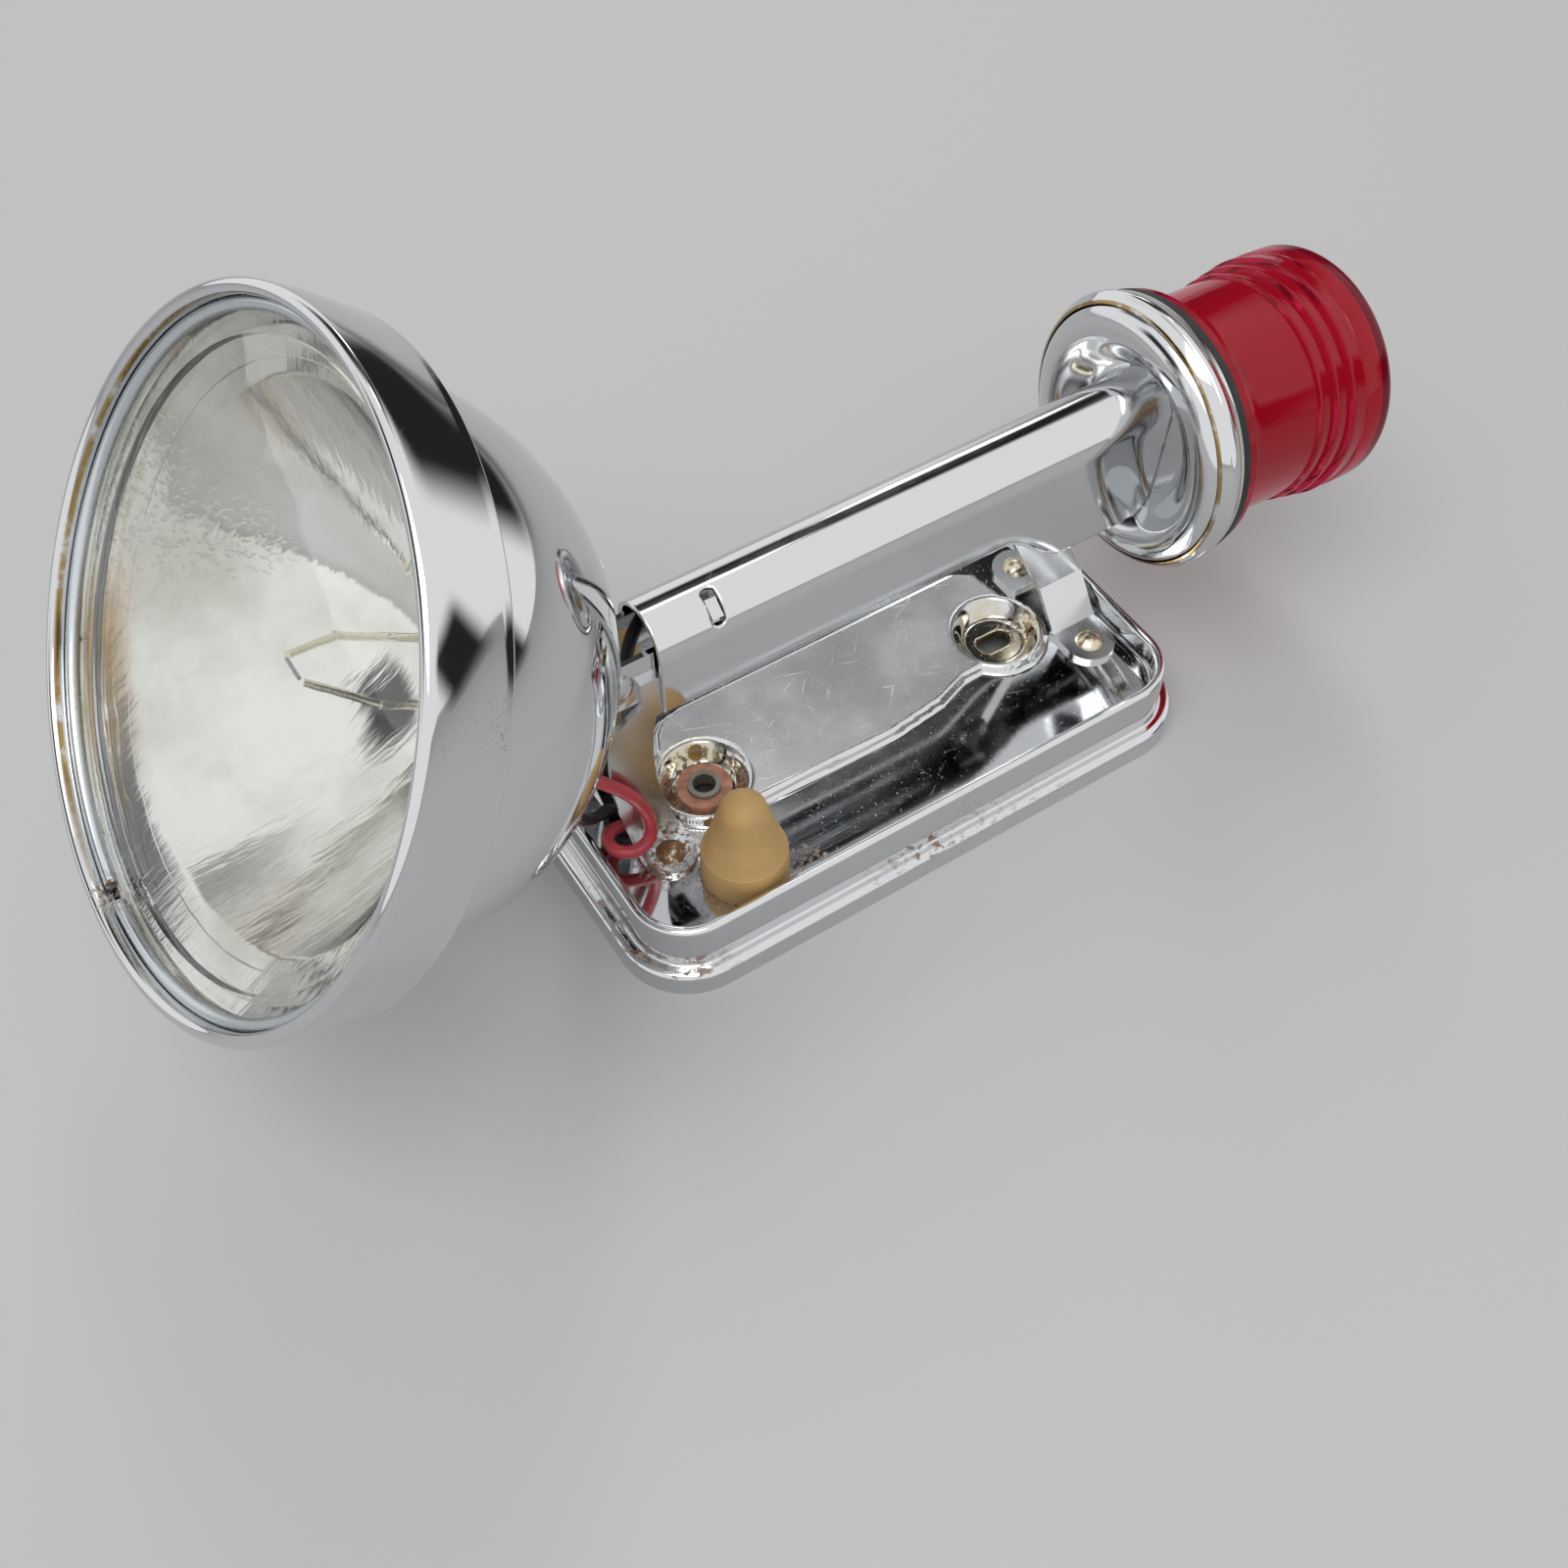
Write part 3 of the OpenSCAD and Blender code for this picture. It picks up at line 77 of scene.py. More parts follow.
HANDLE_W, HANDLE_TOP, HANDLE_LOW, HANDLE_FRONT = 16.0, 72.6, 51.2, -48.0
LOBE_LOW, LOBE_START, LOBE_FULL = 40.5, 32.0, 50.0
SLOT_X, SLOT_ANGLE, TONGUE_W, TONGUE_L = -34.5, 40.0, 3.0, 8.0
PIVOT_X, PIVOT_Z, TILT = -57.0, 61.0, math.radians(33.3)
RIM_FRONT, RIM_R, RIM_REAR_R, RIM_DEPTH, RIM_OPEN_R = 79.0, 59.8, 58.3, 16.0, 57.2
RIM_FOOT, RIM_BEAD, RIM_TURN_IN = 1.4, 0.5, 2.0
BOWL_R, BOWL_DEPTH, BOWL_FLAT_R = 51.0, 53.0, 12.0
LAMP_R, LAMP_FLANGE, SEAT_T, FLANGE_STEP = 56.0, 3.0, 1.0, 3.5
LENS_EDGE, LENS_RISE, LENS_IN, GLASS = 3.5, 3.0, 3.0, 2.0
REFLECTOR_DEPTH, REFLECTOR_IN = 37.0, 7.0
RING_WIRE, RING_CATCH, RING_GAP, RING_GAP_TURN = 2.4, 0.4, 4.0, math.radians(174.0)
CUP_X, CUP_Z, DROOP = 69.6, 57.0, math.radians(4.0)
CUP_R, DISH_DEPTH, DISH_FLOOR_R = 28.2, 5.8, 13.0
CREST_W, CREST_H, CREST_OUT = 4.6, 3.4, 1.8
CLAMP_R, CLAMP_DEPTH, GASKET_T = 30.3, 6.6, 1.6
RED_FLANGE_R, RED_FLANGE_T, RED_NECK_R, RED_NECK_L = 28.6, 2.8, 25.8, 4.0
RED_BARREL_R, RED_L, RED_WALL, RED_END_R = 24.6, 41.0, 2.4, 2.6
RED_STEPS, RED_STEP, RED_STEPS_L, RED_PITCH = 3, 0.7, 20.0, 4.0
LEAD_R, TERMINAL_Y, BLADE_HALF, BLADE_L = 1.4, 9.0, 0.4, 11.0

# Fineness of the meshes: grid step in millimetres, and points on each leg of a lead
GRID_STEP = 0.5
LEAD_STEPS = 8

# Derived heights and frames
cap_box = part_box("base_plate")
FRAME_X = (cap_box[0].x + cap_box[1].x) / 2 / MM
TRAY_INSET = WALL_INSET + 2 * RIDGE_R + FLOOR_FILLET
PLATEAU_Z = FLOOR_Z + PLATEAU_H
WELL_Z = PLATEAU_Z - WELL_DEPTH
CROWN_Z = HANDLE_TOP - HANDLE_W / 2
RIM_REAR = RIM_FRONT - RIM_DEPTH
LAMP_Z0 = RIM_REAR + FLANGE_STEP + SEAT_T
LENS_Z0 = LAMP_Z0 + LAMP_FLANGE
LENS_Z1 = LENS_Z0 + LENS_EDGE
RING_MID_R = RIM_OPEN_R - RING_WIRE / 2 + RING_CATCH
RING_Z = LENS_Z1 + RING_WIRE / 2 + FIT_RUN
REFLECTOR_RIM_R = LAMP_R - REFLECTOR_IN
REFLECTOR_BACK = LAMP_Z0 - REFLECTOR_DEPTH
REFLECTOR_BEND = REFLECTOR_RIM_R**2 / REFLECTOR_DEPTH
DISH_FLOOR = DISH_DEPTH - CREST_OUT
UPRIGHT = Matrix.Translation((FRAME_X * MM, 0, 0)) @ Matrix.Scale(MM, 4)
SWITCH = UPRIGHT @ Matrix.Translation((SWITCH_X, SWITCH_Y, 0))


def turned_place(x, z, angle):
    """Frame at a point of the middle plane, turned about Y."""
    return UPRIGHT @ Matrix.Translation((x, 0, z)) @ Matrix.Rotation(angle, 4, "Y")


# The head's frame has X up, Y across and Z along the beam; the flasher's has Z to the rear
HEAD = turned_place(PIVOT_X, PIVOT_Z, TILT - math.pi / 2)
FLASHER = turned_place(CUP_X, CUP_Z, math.pi / 2 + DROOP)


def row_point(point, place=UPRIGHT):
    """A point in millimetres as a place in the row frame, in metres."""
    return place @ Vector(point)


# Camera at the photograph's angle
CAMERA_AT = (-147.08, -203.37, 319.98)
CAMERA_AZIMUTH, CAMERA_ELEVATION = math.radians(-32.85), math.radians(53.21)
FOCAL_PX, PHOTO_PX, SENSOR = 1849.04, 1600, 36.0


def make_camera():
    """Camera whose axes follow from the azimuth and elevation."""
    data = bpy.data.cameras.new("camera")
    data.sensor_width = SENSOR
    data.lens = FOCAL_PX / PHOTO_PX * SENSOR
    data.clip_start = 0.01
    camera = bpy.data.objects.new("camera", data)
    bpy.context.scene.collection.objects.link(camera)
    a, e = CAMERA_AZIMUTH, CAMERA_ELEVATION
    right = Vector((math.cos(a), math.sin(a), 0))
    back = Vector((math.sin(a) * math.cos(e), -math.cos(a) * math.cos(e), math.sin(e)))
    up = back.cross(right)
    axes = Matrix((right, up, back)).transposed().to_4x4()
    camera.matrix_world = Matrix.Translation(row_point(CAMERA_AT)) @ axes
    bpy.context.scene.camera = camera


make_camera()


# Mesh helpers
def make_piece(name, verts, faces, body, sharp, place):
    """Mesh object from points in millimetres of a place, riding on a body if one is named."""
    mesh = bpy.data.meshes.new(name)
    m = np.array(place)
    points = np.asarray(verts, float) @ m[:3, :3].T + m[:3, 3]
    mesh.from_pydata(points.tolist(), [], faces)
    mesh.validate()
    mesh.update()
    mesh.polygons.foreach_set("use_smooth", [True] * len(mesh.polygons))
    mesh.set_sharp_from_angle(angle=math.radians(sharp))
    piece = bpy.data.objects.new(name, mesh)
    bpy.context.scene.collection.objects.link(piece)
    if body:
        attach(piece, body)
    return piece


def arc(cx, cy, r, start, stop, n):
    """Points of an arc, angles in degrees."""
    angles = np.radians(np.linspace(start, stop, n + 1))
    return [(cx + r * math.cos(a), cy + r * math.sin(a)) for a in angles]


def revolve(name, profile, place, body, turns=180, sharp=40):
    """Surface of revolution of a closed (radius, height) profile about the place's Z axis."""
    verts, rows = [], []
    for r, z in profile:
        if r < 1e-6:
            rows.append([len(verts)] * turns)
            verts.append((0, 0, z))
            continue
        rows.append(list(range(len(verts), len(verts) + turns)))
        for k in range(turns):
            a = 2 * math.pi * k / turns
            verts.append((r * math.cos(a), r * math.sin(a), z))
    faces = []
    for low, high in zip(rows, rows[1:] + rows[:1]):
        if low[0] == low[1] and high[0] == high[1]:
            continue
        for k in range(turns):
            n = (k + 1) % turns
            ring = [low[k], low[n], high[n], high[k]]
            faces.append([v for i, v in enumerate(ring) if v not in ring[:i]])
    return make_piece(name, verts, faces, body, sharp, place)


def spline(route, steps):
    """Smooth curve through a route, with equal steps on each leg."""
    p = np.asarray(route, float)
    out = []
    for i in range(len(p) - 1):
        a, b, c, d = p[max(i - 1, 0)], p[i], p[i + 1], p[min(i + 2, len(p) - 1)]
        for t in np.arange(steps) / steps:
            out.append(0.5 * (
                2 * b + (c - a) * t
                + (2 * a - 5 * b + 4 * c - d) * t**2 + (3 * b - a - 3 * c + d) * t**3
            ))
    out.append(p[-1])
    return np.array(out)


# A direction that no tube starts along
ANY_SIDE = (0.31, 0.52, 0.79)


def tube(name, path, radius, body, sides=14, place=UPRIGHT):
    """Round tube along a path, closed at both ends."""
    tangent = np.gradient(path, axis=0)
    tangent /= np.linalg.norm(tangent, axis=1)[:, None]
    side = np.cross(tangent[0], ANY_SIDE)
    verts, faces = [], []
    for p, t in zip(path, tangent):
        side = side - (side @ t) * t
        side /= np.linalg.norm(side)
        other = np.cross(t, side)
        for k in range(sides):
            a = 2 * math.pi * k / sides
            verts.append(p + radius * (math.cos(a) * side + math.sin(a) * other))
    for i in range(len(path) - 1):
        here, there = i * sides, (i + 1) * sides
        for k in range(sides):
            n = (k + 1) % sides
            faces.append([here + k, here + n, there + n, there + k])
    faces.append(list(range(sides))[::-1])
    faces.append([(len(path) - 1) * sides + k for k in range(sides)])
    return make_piece(name, verts, faces, body, 50, place)


# Shares of a grid step within which points snap to the outline, and past which they drop
SNAP_NEAR, SNAP_PAST, DROP_PAST = 0.5, 1.5, 0.75


def grid_sheet(name, us, vs, sdf, lift, body):
    """Sheet over a grid of (u, v), cut where sdf is negative, its cut edges on the outline."""
    u, v = np.meshgrid(us, vs, indexing="ij")
    step = max(us[1] - us[0], vs[1] - vs[0])
    distance = sdf(u, v)
    e = 1e-3
    gu = (sdf(u + e, v) - sdf(u - e, v)) / (2 * e)
    gv = (sdf(u, v + e) - sdf(u, v - e)) / (2 * e)
    length = np.maximum(np.hypot(gu, gv), 1e-6)
    near = np.abs(distance) < SNAP_NEAR * step
    edge = near | ((distance < 0) & (distance > -SNAP_PAST * step))
    su = np.where(edge, u - distance * gu / length**2, u)
    sv = np.where(edge, v - distance * gv / length**2, v)
    keep = distance > -DROP_PAST * step
    number = np.arange(u.size).reshape(u.shape)
    corners = [number[:-1, :-1], number[1:, :-1], number[1:, 1:], number[:-1, 1:]]
    quads = np.stack(corners, -1).reshape(-1, 4)
    flat_keep, flat_edge = keep.ravel(), edge.ravel()
    quads = quads[flat_keep[quads].all(1) & ~flat_edge[quads].all(1)]
    used, inverse = np.unique(quads, return_inverse=True)
    points = lift(su.ravel()[used], sv.ravel()[used])
    piece = make_piece(name, points, inverse.reshape(-1, 4).tolist(), body, 60, UPRIGHT)
    solid = piece.modifiers.new("sheet", "SOLIDIFY")
    solid.thickness, solid.offset = SHEET * MM, -1.0
    return piece


# Procedural materials
class Shader:
    """A node material with its Principled shader and short calls for the nodes used here."""

    def __init__(self, name):
        """New material whose textures lie in object coordinates."""
        self.mat = bpy.data.materials.new(name)
        self.mat.use_nodes = True
        self.tree = self.mat.node_tree
        self.bsdf = self.tree.nodes["Principled BSDF"]
        self.coords = self.node("ShaderNodeTexCoord").outputs["Object"]

    def node(self, kind, **values):
        """New node with the given properties."""
        made = self.tree.nodes.new(kind)
        for key, value in values.items():
            setattr(made, key, value)
        return made

    def link(self, source, target):
        """Feed an input from a socket, or give it a constant."""
        if isinstance(source, bpy.types.NodeSocket):
            self.tree.links.new(source, target)
        else:
            target.default_value = source

    def set(self, **values):
        """Feed inputs of the Principled shader, with _ for each space in a name."""
        for key, value in values.items():
            self.link(value, self.bsdf.inputs[key.replace("_", " ")])
        return self

    def noise(self, scale, detail=3.0, rough=0.55, stretch=(1, 1, 1), shift=0.0, turn=0.0):
        """Noise, with its coordinates turned about Z, then stretched and shifted."""
        place = self.coords
        if turn:
            turned = self.node("ShaderNodeVectorRotate", rotation_type="Z_AXIS")
            self.link(place, turned.inputs["Vector"])
            turned.inputs["Angle"].default_value = turn
            place = turned.outputs["Vector"]
        mapping = self.node("ShaderNodeMapping")
        self.link(place, mapping.inputs["Vector"])
        mapping.inputs["Scale"].default_value = stretch
        mapping.inputs["Location"].default_value = (shift, shift, shift)
        made = self.node("ShaderNodeTexNoise")
        self.link(mapping.outputs["Vector"], made.inputs["Vector"])
        made.inputs["Scale"].default_value = scale
        made.inputs["Detail"].default_value = detail
        made.inputs["Roughness"].default_value = rough
        return made.outputs["Fac"]

    def range(self, value, low, high, out_low=0.0, out_high=1.0):
        """Smooth step from one value at low to another at high."""
        made = self.node("ShaderNodeMapRange", interpolation_type="SMOOTHSTEP")
        self.link(value, made.inputs["Value"])
        limits = {"From Min": low, "From Max": high, "To Min": out_low, "To Max": out_high}
        for key, number in limits.items():
            made.inputs[key].default_value = number
        return made.outputs["Result"]

    def patches(self, low, high, *noise, **more):
        """Patches of noise: 0 where it is under low and 1 where it is over high."""
        return self.range(self.noise(*noise, **more), low, high)

    def math(self, operation, a, b):
        """Result of a Math node."""
        made = self.node("ShaderNodeMath", operation=operation)
        self.link(a, made.inputs[0])
        self.link(b, made.inputs[1])
        return made.outputs["Value"]

    def plus(self, a, b):
        """Sum of two values."""
        return self.math("ADD", a, b)

    def times(self, a, b):
        """Product of two values."""
        return self.math("MULTIPLY", a, b)

    def larger(self, a, b):
        """Larger of two values."""
        return self.math("MAXIMUM", a, b)

    def away(self, value, place):
        """Distance of a value from a place on its scale."""
        return self.math("ABSOLUTE", self.math("SUBTRACT", value, place), 0.0)

    def vector(self, operation, a, b=(0, 0, 0), output="Vector"):
        """Result of a Vector Math node."""
        made = self.node("ShaderNodeVectorMath", operation=operation)
        self.link(a, made.inputs[0])
        self.link(b, made.inputs[1])
        return made.outputs[output]

    def mix(self, fac, a, b):
        """Mix of two colours."""
        made = self.node("ShaderNodeMix", data_type="RGBA")
        self.link(fac, made.inputs["Factor"])
        self.link(a, made.inputs[6])
        self.link(b, made.inputs[7])
        return made.outputs[2]

    def near(self, centre, inner, outer):
        """1 within the inner distance of a point, 0 past the outer one, in metres."""
        distance = self.vector("DISTANCE", self.coords, centre, "Value")
        return self.range(distance, inner, outer, 1.0, 0.0)

    def along(self, origin, axis, place, width):
        """1 on a plane across an axis, at a distance from its origin, fading over a width."""
        offset = self.vector("SUBTRACT", self.coords, origin)
        reach = self.vector("DOT_PRODUCT", offset, axis, "Value")
        return self.range(self.away(reach, place), 0.4 * width, width, 1.0, 0.0)

    def from_axis(self, origin, axis):
        """Distance from an axis through a point, in metres."""
        offset = self.vector("SUBTRACT", self.coords, origin)
        return self.vector("LENGTH", self.vector("CROSS_PRODUCT", offset, axis), output="Value")

    def band(self, height, width):
        """1 at a height above the floor, fading over a width, in metres."""
        return self.along((0, 0, 0), (0, 0, 1), height, width)

    def bump(self, value, strength, distance):
        """Bump the shader's normal."""
        made = self.node("ShaderNodeBump")
        self.link(value, made.inputs["Height"])
        made.inputs["Strength"].default_value = strength
        made.inputs["Distance"].default_value = distance
        self.link(made.outputs["Normal"], self.bsdf.inputs["Normal"])
        return self


RUST_DARK, RUST_LIGHT = (0.07, 0.028, 0.01, 1), (0.32, 0.16, 0.06, 1)
TARNISH, OCHRE = (0.36, 0.25, 0.11, 1), (0.56, 0.50, 0.36, 1)
DUST = (0.62, 0.61, 0.57, 1)
SILVER_BRIGHT, SILVER_DULL = (0.84, 0.84, 0.82, 1), (0.62, 0.60, 0.54, 1)
DRIED, AMBER = (0.50, 0.48, 0.43, 1), (0.55, 0.32, 0.07, 1)

# Turn and scale of each set of scratches, and how they are drawn out
SCRATCH_TURNS = ((0.35, 80), (-0.55, 60), (1.25, 70), (2.3, 75))
SCRATCH_STRETCH = (1.3, 30, 8)


def chrome(
    name, tint=(0.66, 0.67, 0.68), rust=0.0, spots=(), edges=None, gloss=0.04, seams=(),
    scratches=0.1, satin=None, stains=(), dust=0.0,
):
    """Bright plating with fine scratches, and rust and stains where the photograph shows them."""
    s = Shader(name)
    smear = s.noise(55, 4, 0.6)
    marks = 0.0
    for turn, scale in SCRATCH_TURNS:
        marks = s.larger(marks, s.patches(0.69, 0.75, scale, 3, 0.5, SCRATCH_STRETCH, turn, turn))
    polish = s.plus(s.range(smear, 0.35, 0.75, gloss, gloss + 0.06), s.times(marks, scratches))
    if satin:
        polish = s.plus(polish, s.times(s.band(*satin), 0.15))
    speck = s.patches(0.60, 0.64, 1500, 4, 0.6)
    patch = s.patches(0.62 - 0.14 * rust, 0.8 - 0.14 * rust, 40, 3, 0.6, shift=0.37)
    mask = s.times(s.times(speck, patch), min(1.0, 4 * rust))
    for place in spots:
        local = s.patches(0.50, 0.58, 850, 6, 0.7, shift=0.11)
        mask = s.larger(mask, s.times(local, s.near(*place)))
    if edges:
        grain = s.patches(0.52, 0.60, 700, 5, 0.65, (0.6, 0.6, 2), 0.7)
        stretch = s.patches(0.44, 0.66, 16, 2, 0.5, shift=0.2)
        mask = s.larger(mask, s.times(s.times(grain, stretch), s.band(*edges)))
    tarnish = 0.0
    for origin, axis, place, width, side in seams:
        line = s.times(s.along(origin, axis, place, width), s.near(*side))
        wear = s.patches(0.3, 0.5, 160, 4, 0.6, shift=0.5)
        tarnish = s.larger(tarnish, s.times(line, wear))
    brown = s.mix(s.noise(1500, 3), RUST_DARK, RUST_LIGHT)
    if dust:
        speckle = s.times(s.patches(0.70, 0.73, 1900, 2, 0.5, shift=0.3), dust)
        brown = s.mix(speckle, brown, DUST)
        mask = s.larger(mask, speckle)
    plating = s.mix(tarnish, (*tint, 1), TARNISH) if seams else (*tint, 1)
    for place in stains:
        stain = s.times(s.near(*place), s.patches(0.25, 0.6, 150, 4))
        plating = s.mix(stain, plating, OCHRE)
    s.set(
        Base_Color=s.mix(mask, plating, brown),
        Metallic=s.range(mask, 0.2, 0.8, 1.0, 0.0),
        Roughness=s.larger(polish, s.times(mask, 0.75)),
    )
    return s.bump(s.plus(s.noise(30, 2), s.times(mask, 0.3)), 0.012, 0.003).mat


def steel(name, tint, rough=0.35, rust=0.35, spots=()):
    """Dull plated steel with a rough brown bloom, thickest at the given spots."""
    s = Shader(name)
    bloom = s.patches(0.62 - 0.25 * rust, 0.74, 300, 6, 0.7)
    for place in spots:
        bloom = s.larger(bloom, s.times(s.near(*place), s.patches(0.34, 0.5, 420, 5, 0.7)))
    grain = s.noise(1400, 3)
    polish = s.range(grain, 0.3, 0.7, rough - 0.08, rough + 0.08)
    s.set(
        Base_Color=s.mix(bloom, (*tint, 1), s.mix(grain, RUST_DARK, RUST_LIGHT)),
        Metallic=s.range(bloom, 0.1, 0.9, 1.0, 0.15),
        Roughness=s.plus(polish, s.times(bloom, 0.3)),
    )
    return s.bump(grain, 0.12, 0.0004).mat


def moulded(name, tint, rough=0.5, vary=0.25, scale=160, grain=0.15):
    """Moulded rubber, plastic or fibre with a mottled colour and a fine skin."""
    s = Shader(name)
    dark = tuple(c * (1 - vary) for c in tint)
    light = tuple(min(1, c * (1 + vary)) for c in tint)
    blotch = s.patches(0.3, 0.7, scale, 4, 0.6)
    s.set(
        Base_Color=s.mix(blotch, (*dark, 1), (*light, 1)),
        Roughness=s.range(s.noise(scale * 2.2, 3), 0.3, 0.7, rough - 0.07, rough + 0.09),
    )
    return s.bump(s.noise(2600, 3), grain, 0.0003).mat


def clear(name, tint, rough=0.02, haze=0.1, ior=1.49, passing=1.0):
    """Clear glass or plastic with faint haze and pressing waves."""
    s = Shader(name)
    smear = s.patches(0.45, 0.72, 70, 5, 0.65)
    s.set(Base_Color=(*tint, 1), Transmission_Weight=passing, IOR=ior)
    s.set(Roughness=s.range(smear, 0, 1, rough, rough + haze))
    return s.bump(s.noise(45, 2), 0.05, 0.003).mat


def silvered(name):
    """Hazy silvered glass with dried drops at one side and an amber stain at the edge."""
    s = Shader(name)
    haze = s.patches(0.35, 0.7, 30, 5, 0.6)
    dried = s.near(*DRIED_SPOT)
    drops = s.times(s.patches(0.52, 0.6, 700, 3, 0.5), dried)
    edge = s.range(s.from_axis(HEAD_AT, BEAM), 0.046, 0.053)
    stain = s.times(edge, s.near(*AMBER_SPOT))
    silver = s.mix(haze, SILVER_BRIGHT, SILVER_DULL)
    silver = s.mix(s.times(dried, 0.5), silver, DRIED)
    silver = s.mix(s.times(stain, 0.9), silver, AMBER)
    rough = s.plus(s.range(haze, 0, 1, 0.07, 0.15), s.times(drops, 0.15))
    s.set(Base_Color=silver, Metallic=s.range(stain, 0.2, 0.9, 1.0, 0.5), Roughness=rough)
    streak = s.noise(60, 3, 0.6, (1, 6, 1))
    return s.bump(s.plus(streak, drops), 0.16, 0.0012).mat


def spot(x, y, z, inner, outer, place=UPRIGHT):
    """A point and the two distances between which a mark fades, given in millimetres."""
    return (row_point((x, y, z), place), inner * MM, outer * MM)


def axis_of(place):
    """Direction of a place's Z axis in the row frame."""
    return (place.to_3x3() @ Vector((0, 0, 1))).normalized()


# Places of the rust, stains and tarnish
HEAD_AT, BEAM = HEAD.translation, axis_of(HEAD)
FLASHER_AT, REARWARD = FLASHER.translation, axis_of(FLASHER)
FOOT_SPOT = spot(FRONT_FOOT_X, FRONT_FOOT_Y, FLOOR_Z, 5, 10)
CAP_SPOTS = [
    spot(POST_FRONT_X, 0, WELL_Z, 6, 12.5),
    spot(POST_REAR_X + 6.5, -1, WELL_Z, 3, 6.5),
    spot(SWITCH_X, SWITCH_Y, FLOOR_Z, 9, 13),
    spot(-29, -29, FLOOR_Z, 3, 6),
    FOOT_SPOT,
]
RIVET_SPOT = spot(FRONT_FOOT_X, FRONT_FOOT_Y, FLOOR_Z, 6, 9)
WELL_STAINS = [spot(POST_REAR_X + 2, 0, WELL_Z, 7, 12), spot(POST_FRONT_X, 2, WELL_Z, 7, 12)]
RING_SPOT = spot(
    RING_MID_R * math.cos(RING_GAP_TURN), RING_MID_R * math.sin(RING_GAP_TURN), RING_Z,
    2.4, 5.5, HEAD,
)
DRIED_SPOT = spot(-6, 46, 66, 6, 26, HEAD)
AMBER_SPOT = spot(-34, 38, 68, 6, 26, HEAD)
FAR_LIP = spot(-12, RIM_R, RIM_FRONT, 45, 75, HEAD)
LIP_SEAM = (HEAD_AT, BEAM, (RIM_FRONT - 1.3) * MM, 0.8 * MM, FAR_LIP)
CLAMP_ALL = (FLASHER_AT, 0.2, 0.3)
CLAMP_SEAMS = [
    (FLASHER_AT, REARWARD, 0.45 * MM, 0.3 * MM, CLAMP_ALL),
    (FLASHER_AT, REARWARD, (CLAMP_DEPTH - 1.5) * MM, 0.25 * MM, CLAMP_ALL),
]
MATERIALS = {
    "cap": chrome(
        "plated_cap", rust=0.45, spots=CAP_SPOTS, scratches=0.16,
        satin=(PLATEAU_Z * MM, 0.9 * MM), stains=WELL_STAINS, dust=1.0,
    ),
    "skirt": chrome("plated_skirt", rust=0.5, edges=((SKIRT_H + WALL_FILLET) * MM, 2.4 * MM)),
    "chrome": chrome("bright_chrome", rust=0.1),
    "bowl": chrome("bright_bowl", rust=0.08, gloss=0.03),
    "cup": chrome("bright_cup", rust=0.15, gloss=0.09),
    "rim": chrome("bright_rim", rust=0.2, spots=[RING_SPOT], seams=[LIP_SEAM]),
    "clamp": chrome("bright_clamp", rust=0.1, seams=CLAMP_SEAMS),
    "bracket": chrome("plated_bracket", rust=0.2, spots=[FOOT_SPOT], gloss=0.2),
    "rivet": steel("rusty_rivet", (0.66, 0.58, 0.44), 0.22, 0.2, [RIVET_SPOT]),
    "plated_steel": steel("plated_steel", (0.6, 0.6, 0.6), 0.25, 0.1),
    "spring_steel": steel("spring_steel", (0.45, 0.45, 0.47), 0.3, 0.15),
    "ring": chrome("plated_ring", (0.60, 0.64, 0.67), rust=0.15, spots=[RING_SPOT], gloss=0.24),
    "prong": steel("nickel_prong", (0.80, 0.75, 0.62), 0.2, 0.0),
    "brass": steel("worn_brass", (0.72, 0.52, 0.22), 0.25, 0.1),
    "bushing": moulded("grey_bushing", (0.19, 0.185, 0.15), 0.45),
    "fibre": moulded("salmon_fibre", (0.42, 0.19, 0.12), 0.7, 0.35, 320),
    "phenolic": moulded("brown_phenolic", (0.12, 0.05, 0.02), 0.4),
    "black_plastic": moulded("black_plastic", (0.02, 0.02, 0.02), 0.4),
    "boot": moulded("tan_rubber", (0.56, 0.35, 0.135), 0.55, 0.1, 90, 0.1),
    "black_rubber": moulded("black_rubber", (0.015, 0.015, 0.015), 0.6),
    "red_wire": moulded("red_insulation", (0.50, 0.045, 0.06), 0.35, 0.15),
    "black_wire": moulded("black_insulation", (0.012, 0.012, 0.012), 0.35, 0.3),
    "glass": clear("lamp_glass", (0.97, 0.98, 0.97), 0.01, 0.05),
    "red": clear("red_lens", (0.72, 0.022, 0.085), 0.02, 0.04, 1.32, 0.88),
    "silver": silvered("silvered_reflector"),
}


def dress(piece, material, slot, *nodes):
    """Give a new piece its material, and let it stand for CAD nodes. The slot argument is not
    used.
    """
    piece.data.materials.append(MATERIALS[material])
    if nodes:
        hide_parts(*nodes)
    return piece


